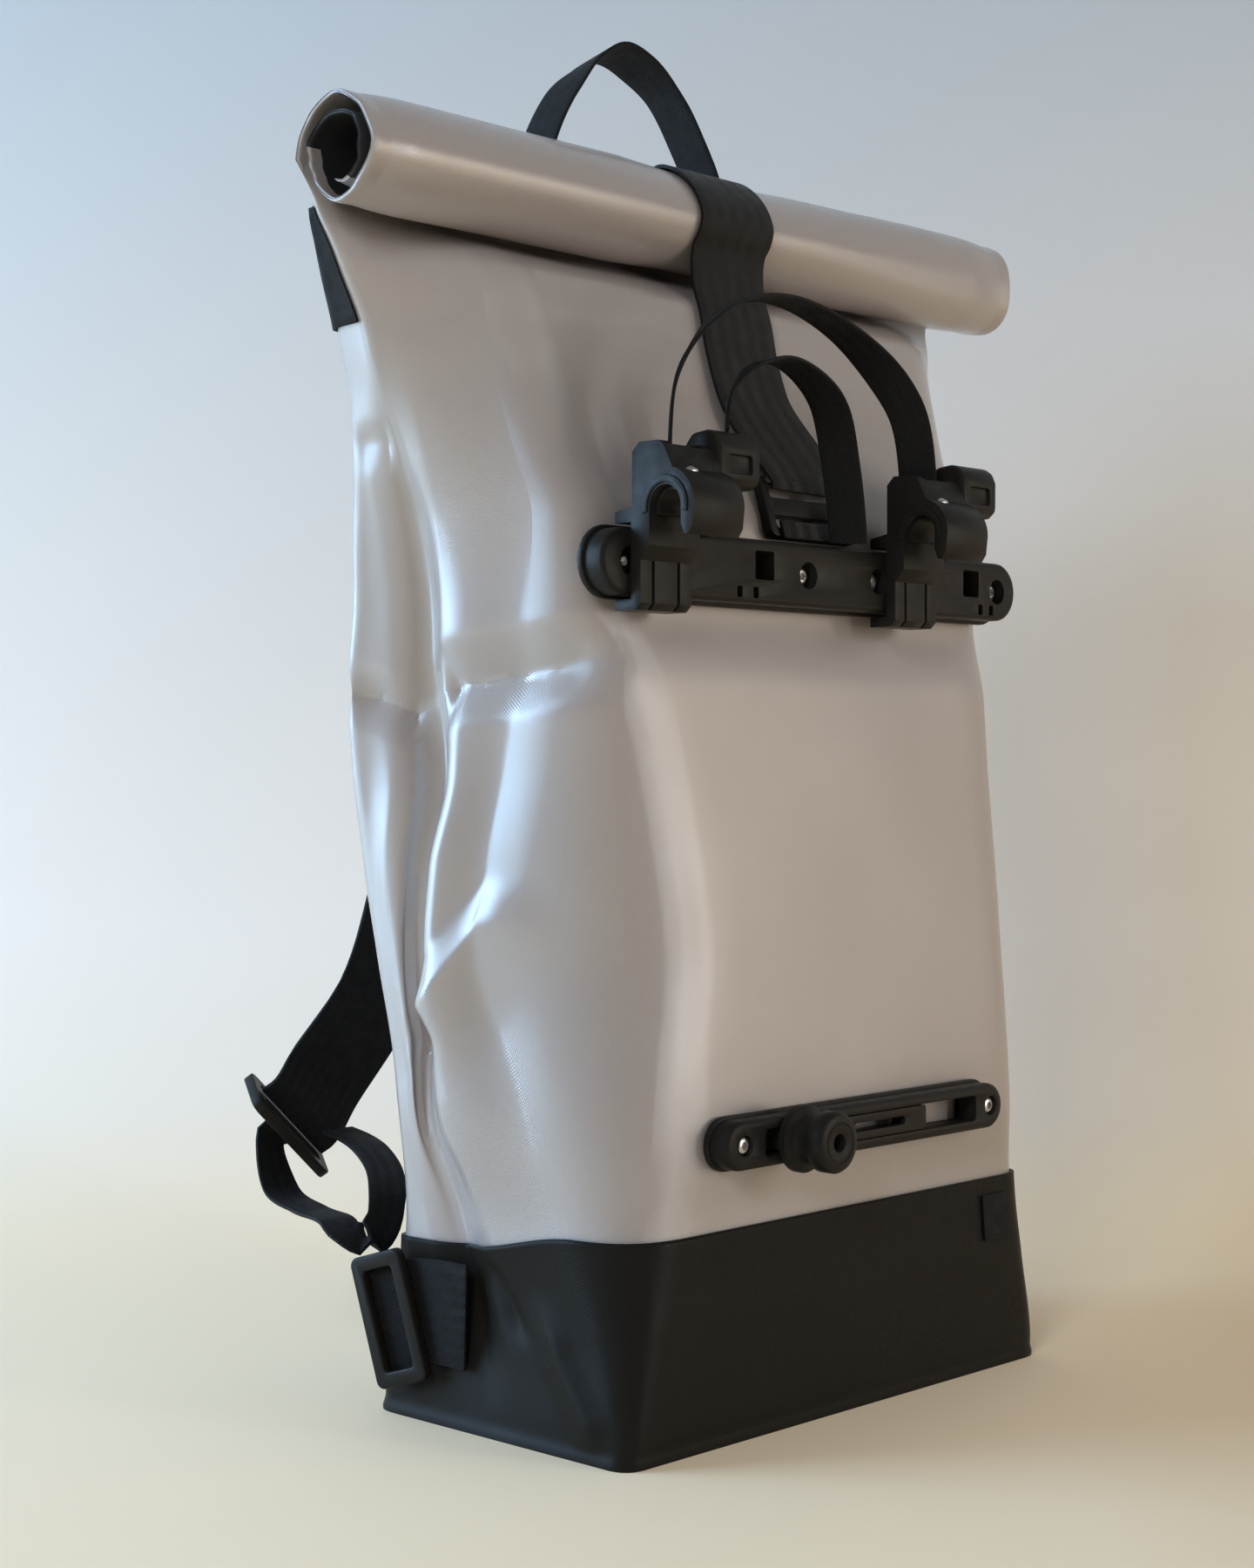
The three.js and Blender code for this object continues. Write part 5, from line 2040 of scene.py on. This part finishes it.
@dataclass
class PullStraps:
    """The two webbing arches that pull the hooks open, edge-on at the left and facing out at the right.

    Feet and tops are a place across the bag, a distance from the rail's front and a height over its top.
    """

    LEFT_WIDE = Vector((0.72, 0.69, 0))
    RIGHT_WIDE = Vector((-0.72, 0.69, 0))

    finishes: Finishes
    width: float = 18.0
    upright: float = 6.0
    rail_front: float = -66.0
    rail_top: float = 398.0
    outer: tuple[Triple, ...] = ((-119.0, -10, 30.0), (55.0, -10, 30.0), (-36, -4, 107))
    inner: tuple[Triple, ...] = ((-81.0, -9, 42.6), (15, 0.5, 0.6), (-32, -4, 79))

    def _arch(self, left: Vector, right: Vector, apex: Vector) -> list[Stop]:
        """Gives the stops of an arch between two feet.

        Args:
            left: The left foot.
            right: The right foot.
            apex: The top.

        Returns:
            The stops from left to right.
        """

        def between(share: float, y: float, foot: Vector, climbed: float) -> Vector:
            """Gives a place at a share of the way across, and a share of the climb from a foot."""
            return point(left.x + (right.x - left.x) * share, y, foot.z + (apex.z - foot.z) * climbed)

        lift = Vector((0, 0, self.upright))
        return [
            Stop(left, self.LEFT_WIDE),
            Stop(left + lift, self.LEFT_WIDE),
            Stop(between(0.03, left.y, left, 0.45), self.LEFT_WIDE),
            Stop(between(0.2, left.y, left, 0.85), self.LEFT_WIDE.lerp(BACKWARD, 0.5)),
            Stop(apex, BACKWARD),
            Stop(between(0.78, apex.y, right, 0.82), self.RIGHT_WIDE.lerp(BACKWARD, 0.5)),
            Stop(between(0.95, right.y, right, 0.45), self.RIGHT_WIDE),
            Stop(right + lift, self.RIGHT_WIDE),
            Stop(right, self.RIGHT_WIDE),
        ]

    def build(self) -> None:
        """Makes both arches."""
        for word, places in (("outer", self.outer), ("inner", self.inner)):
            stops = self._arch(*(point(x, self.rail_front + y, self.rail_top + z) for x, y, z in places))
            strap = Strap(f"pull_webbing_{word}", stops, self.width)
            strap.build(self.finishes.webbing, f"pull_strap_{word}", "stretched")


@dataclass
class LowerRail:
    """The short slotted rail with its screws, and the arm and spool knob of the lower hook.

    Cutters reach some way past both faces of what they cut.
    """

    finishes: Finishes
    past: float = 1.0
    slot_height: float = 12.0
    slot_round: float = 2.0
    slot_from: float = -70.0
    slot_to: float = 86.0
    flange_depth: float = 3.0
    flange_step: float = 1.2
    flange_rim: float = 0.6
    rim: float = 2.4
    cut_rim: float = 0.5
    screws: int = 2
    well_radius: float = 4.6
    arm_round: float = 1.6
    arm_rim: float = 0.6
    arm_slot: Flat = (38.0, 4.0)
    arm_slot_x: float = 11.0
    spindle_radius: float = 3.4
    knob_steps: int = 64
    knob: tuple[Flat, ...] = (
        (0, 0), (3, 0), (3, 7), (14.2, 7), (15, 7.8), (15, 11.2), (14.2, 12), (11.2, 12.8), (10.5, 13.6),
        (10.5, 19.6), (11, 20.4), (12.8, 21.2), (13.5, 22), (13.5, 28.4), (12.8, 29.6), (11.6, 30.3),
        (9.4, 30.5), (9, 30.1), (8.4, 30.1), (8, 30.5), (4.6, 30.5), (4, 30.1), (3.2, 25), (0, 25),
    )

    def build(self) -> None:
        """Makes the rail, its screws, the arm and the knob."""
        length, depth, height, frame = node_front("lower_rail")
        through = node_through("lower_rail", self.past)
        reach = depth + self.past * 2
        middle = ((self.slot_from + self.slot_to) / 2, 0.0)
        slot = rounded_rectangle(self.slot_to - self.slot_from, self.slot_height, self.slot_round, middle)
        tools = [plate(slot, reach, through)]
        tools += screw_wells("lower", self.screws, self.well_radius, reach, through, self.finishes)
        flange = plate(stadium(length, height), self.flange_depth, frame)
        flange = carve(flange, [plate(slot, reach, through)])
        step = self.flange_step * 2
        bar = plate(stadium(length - step, height - step), depth, frame, self.rim, 3)
        form = gather((soften(flange, self.flange_rim), soften(carve(bar, tools), self.cut_rim)))
        mould("short_rail", form, self.finishes, "lower_rail")
        self._build_arm()
        *_, knob_frame = node_front("lower_hook_knob")
        knob = turned(self.knob, knob_frame, self.knob_steps)
        mould("spool_knob", knob, self.finishes, "lower_hook_knob", Body.KNOB)

    def _build_arm(self) -> None:
        """Makes the slotted arm that slides in the rail."""
        length, depth, height, frame = node_front("lower_hook_arm")
        body = plate(rounded_rectangle(length, height, self.arm_round), depth, frame)
        through = node_through("lower_hook_arm", self.past)
        spindle = (middle_x("lower_hook_knob"), 0.0)
        holes = (stadium(*self.arm_slot, (self.arm_slot_x, 0.0)), circle(spindle, self.spindle_radius, 24))
        reach = depth + self.past * 2
        form = carve(body, [plate(hole, reach, through) for hole in holes])
        mould("slide_arm", soften(form, self.arm_rim), self.finishes, "lower_hook_arm", Body.ARM)


@dataclass
class SideTag:
    """The small blank tag on the front of the boot."""

    tube: BagTube
    finishes: Finishes
    standoff: float = 0.8
    thickness: float = 1.0

    def build(self) -> None:
        """Makes the tag as a short piece of webbing."""
        low, high = node_box("side_tag")
        middle = (low.x + high.x) / 2
        heights = [low.z + (high.z - low.z) * share for share in (0, 0.5, 1)]
        fronts = [(self.tube.section(z).front_y - self.standoff, z) for z in heights]
        stops = [Stop(point(middle, y, z), ACROSS) for y, z in fronts]
        tag = Strap("blank_tag", stops, high.x - low.x, self.thickness, row_length=2.0)
        tag.build(self.finishes.webbing, "side_tag", "stretched")


@dataclass(frozen=True)
class Lamp:
    """A soft light that aims at the bag: its place, size, power and colour, and whether gloss shows it."""

    name: str
    place: Triple
    size: Flat
    power: float
    colour: Triple
    glossy: bool = True


@dataclass
class Studio:
    """The floor, the wall, the lights and the camera."""

    COOL = (0.43, 0.69, 1.0)
    WARM = (1.0, 0.86, 0.7)
    PALE = (0.84, 0.92, 1.0)

    camera_place: Triple = (-0.9056, -0.8006, 0.2945)
    camera_turn: float = -46.37
    lens: float = 57.64
    horizon_row: float = 880.0
    photo_height: float = 1800.0
    sensor: float = 36.0
    near: float = 0.01
    sweep_back: float = 0.6
    sweep_front: float = 3.2
    sweep_half: float = 3.4
    sweep_round: float = 0.28
    sweep_height: float = 3.0
    sweep_columns: int = 4
    sweep_rows: int = 60
    # The floor's cream, then a painted fall-off of light that makes the wall darker and cooler towards the
    # top.
    sweep_stops: tuple[tuple[float, Colour], ...] = (
        (0.0, painted(250, 229, 197)),
        (0.06, painted(242, 228, 211)),
        (0.18, painted(238, 228, 219)),
        (0.85, painted(190, 195, 200)),
    )
    # Painted shadow of the bag on the sweep: its tint, and where it lies across and up.
    sweep_shade: Colour = (0.82, 0.76, 0.66, 1.0)
    shade_across: Flat = (0.14, 0.36)
    shade_height: Flat = (0.4, 0.62)
    aim: Triple = (0.0, 0.0, 0.3)
    lamps: tuple[Lamp, ...] = (
        Lamp("window", (-1.9, -0.9, 1.25), (0.6, 0.6), 20.0, PALE, glossy=False),
        Lamp("side_window", (-1.45, 1.4, 0.75), (1.2, 1.4), 53.0, COOL),
        Lamp("room", (1.1, -1.8, 0.5), (1.3, 1.0), 9.5, WARM),
        Lamp("front_window", (0.7, -2.2, 0.6), (0.16, 1.5), 9.0, PALE),
        Lamp("ceiling_lamp", (1.34, 0.53, 2.1), (0.05, 0.3), 4.5, WARM),
    )
    sky_colour: Colour = (1.0, 0.95, 0.88, 1.0)
    sky_strength: float = 0.24

    def _sweep_point(self, along: float) -> Flat:
        """Gives the depth and height of the sweep's profile at a share of its length.

        Args:
            along: The share, from the front of the floor.

        Returns:
            The depth and height in metres.
        """
        floor = self.sweep_front + self.sweep_back - self.sweep_round
        bend = self.sweep_round * math.pi / 2
        wall = self.sweep_height - self.sweep_round
        travelled = along * (floor + bend + wall)
        if travelled <= floor:
            return travelled - self.sweep_front, 0.0
        if travelled <= floor + bend:
            turn = (travelled - floor) / self.sweep_round
            start = self.sweep_back - self.sweep_round
            return start + self.sweep_round * math.sin(turn), self.sweep_round * (1 - math.cos(turn))
        return self.sweep_back, self.sweep_round + travelled - floor - bend

    def build_sweep(self) -> None:
        """Makes the pale floor that curves up into a wall behind the bag."""
        turn = math.radians(self.camera_turn)
        ahead = Vector((-math.sin(turn), math.cos(turn), 0.0))
        right = Vector((math.cos(turn), math.sin(turn), 0.0))

        def place(column: int, row: int) -> Vector:
            """Gives the sweep's place of a column and row."""
            depth, height = self._sweep_point(row / self.sweep_rows)
            across = (column / self.sweep_columns * 2 - 1) * self.sweep_half
            return (ahead * depth + right * across + Vector((0, 0, height))) / MM

        form = cloth_grid(self.sweep_columns, self.sweep_rows, place, lambda column, row: (column, row))
        mesh = bpy.data.meshes.new("studio_sweep")
        form.to_mesh(mesh)
        form.free()
        mesh.shade_smooth()
        paint = StagePaint(
            "studio_paint", self.sweep_stops, self.sweep_shade, tuple(right), self.shade_across,
            self.shade_height,
        )
        mesh.materials.append(paint.make())
        sweep = bpy.data.objects.new("studio_sweep", mesh)
        bpy.context.collection.objects.link(sweep)

    def _hang(self, lamp: Lamp) -> None:
        """Adds one soft light.

        Args:
            lamp: The light.
        """
        light = bpy.data.lights.new(lamp.name, "AREA")
        light.shape = "RECTANGLE"
        light.size, light.size_y = lamp.size
        light.energy = lamp.power
        light.color = lamp.colour
        hung = bpy.data.objects.new(lamp.name, light)
        place = Vector(lamp.place)
        hung.location = place
        hung.rotation_euler = (Vector(self.aim) - place).to_track_quat("-Z", "Y").to_euler()
        hung.visible_camera = False
        hung.visible_glossy = lamp.glossy
        bpy.context.collection.objects.link(hung)

    def light(self) -> None:
        """Hangs the lamps and sets a pale sky."""
        for lamp in self.lamps:
            self._hang(lamp)
        world = bpy.data.worlds.new("pale_sky")
        world.use_nodes = True
        sky = world.node_tree.nodes["Background"]
        sky.inputs["Color"].default_value = self.sky_colour
        sky.inputs["Strength"].default_value = self.sky_strength
        bpy.context.scene.world = world
        bpy.context.scene.view_settings.view_transform = "Standard"

    def place_camera(self) -> None:
        """Puts the camera where the photograph was taken."""
        data = bpy.data.cameras.new("photo_camera")
        data.lens = self.lens
        data.sensor_fit = "AUTO"
        data.sensor_width = self.sensor
        data.shift_y = (self.horizon_row - self.photo_height / 2) / self.photo_height
        data.clip_start = self.near
        camera = bpy.data.objects.new("photo_camera", data)
        camera.location = self.camera_place
        camera.rotation_euler = (math.pi / 2, 0.0, math.radians(self.camera_turn))
        bpy.context.collection.objects.link(camera)
        bpy.context.scene.camera = camera


def main() -> None:
    """Loads the frame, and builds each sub-assembly in order."""
    logging.basicConfig(level=logging.INFO, format="%(name)s %(message)s")
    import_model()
    finishes = Finishes()
    studio = Studio()
    studio.place_camera()
    studio.build_sweep()
    studio.light()
    tube = BagTube()
    TarpBody(tube, finishes).build()
    Boot(tube, finishes).build()
    band = BackBand(tube, finishes)
    band.build()
    Closure(tube, band, finishes).build()
    CarryHandle(band, finishes).build()
    UpperRail(finishes).build()
    PullStraps(finishes).build()
    LowerRail(finishes).build()
    SideTag(tube, finishes).build()
    for side in Side:
        Harness(side, band, finishes).build()
        RackHook(side, finishes).build()


if __name__ == "__main__":
    main()
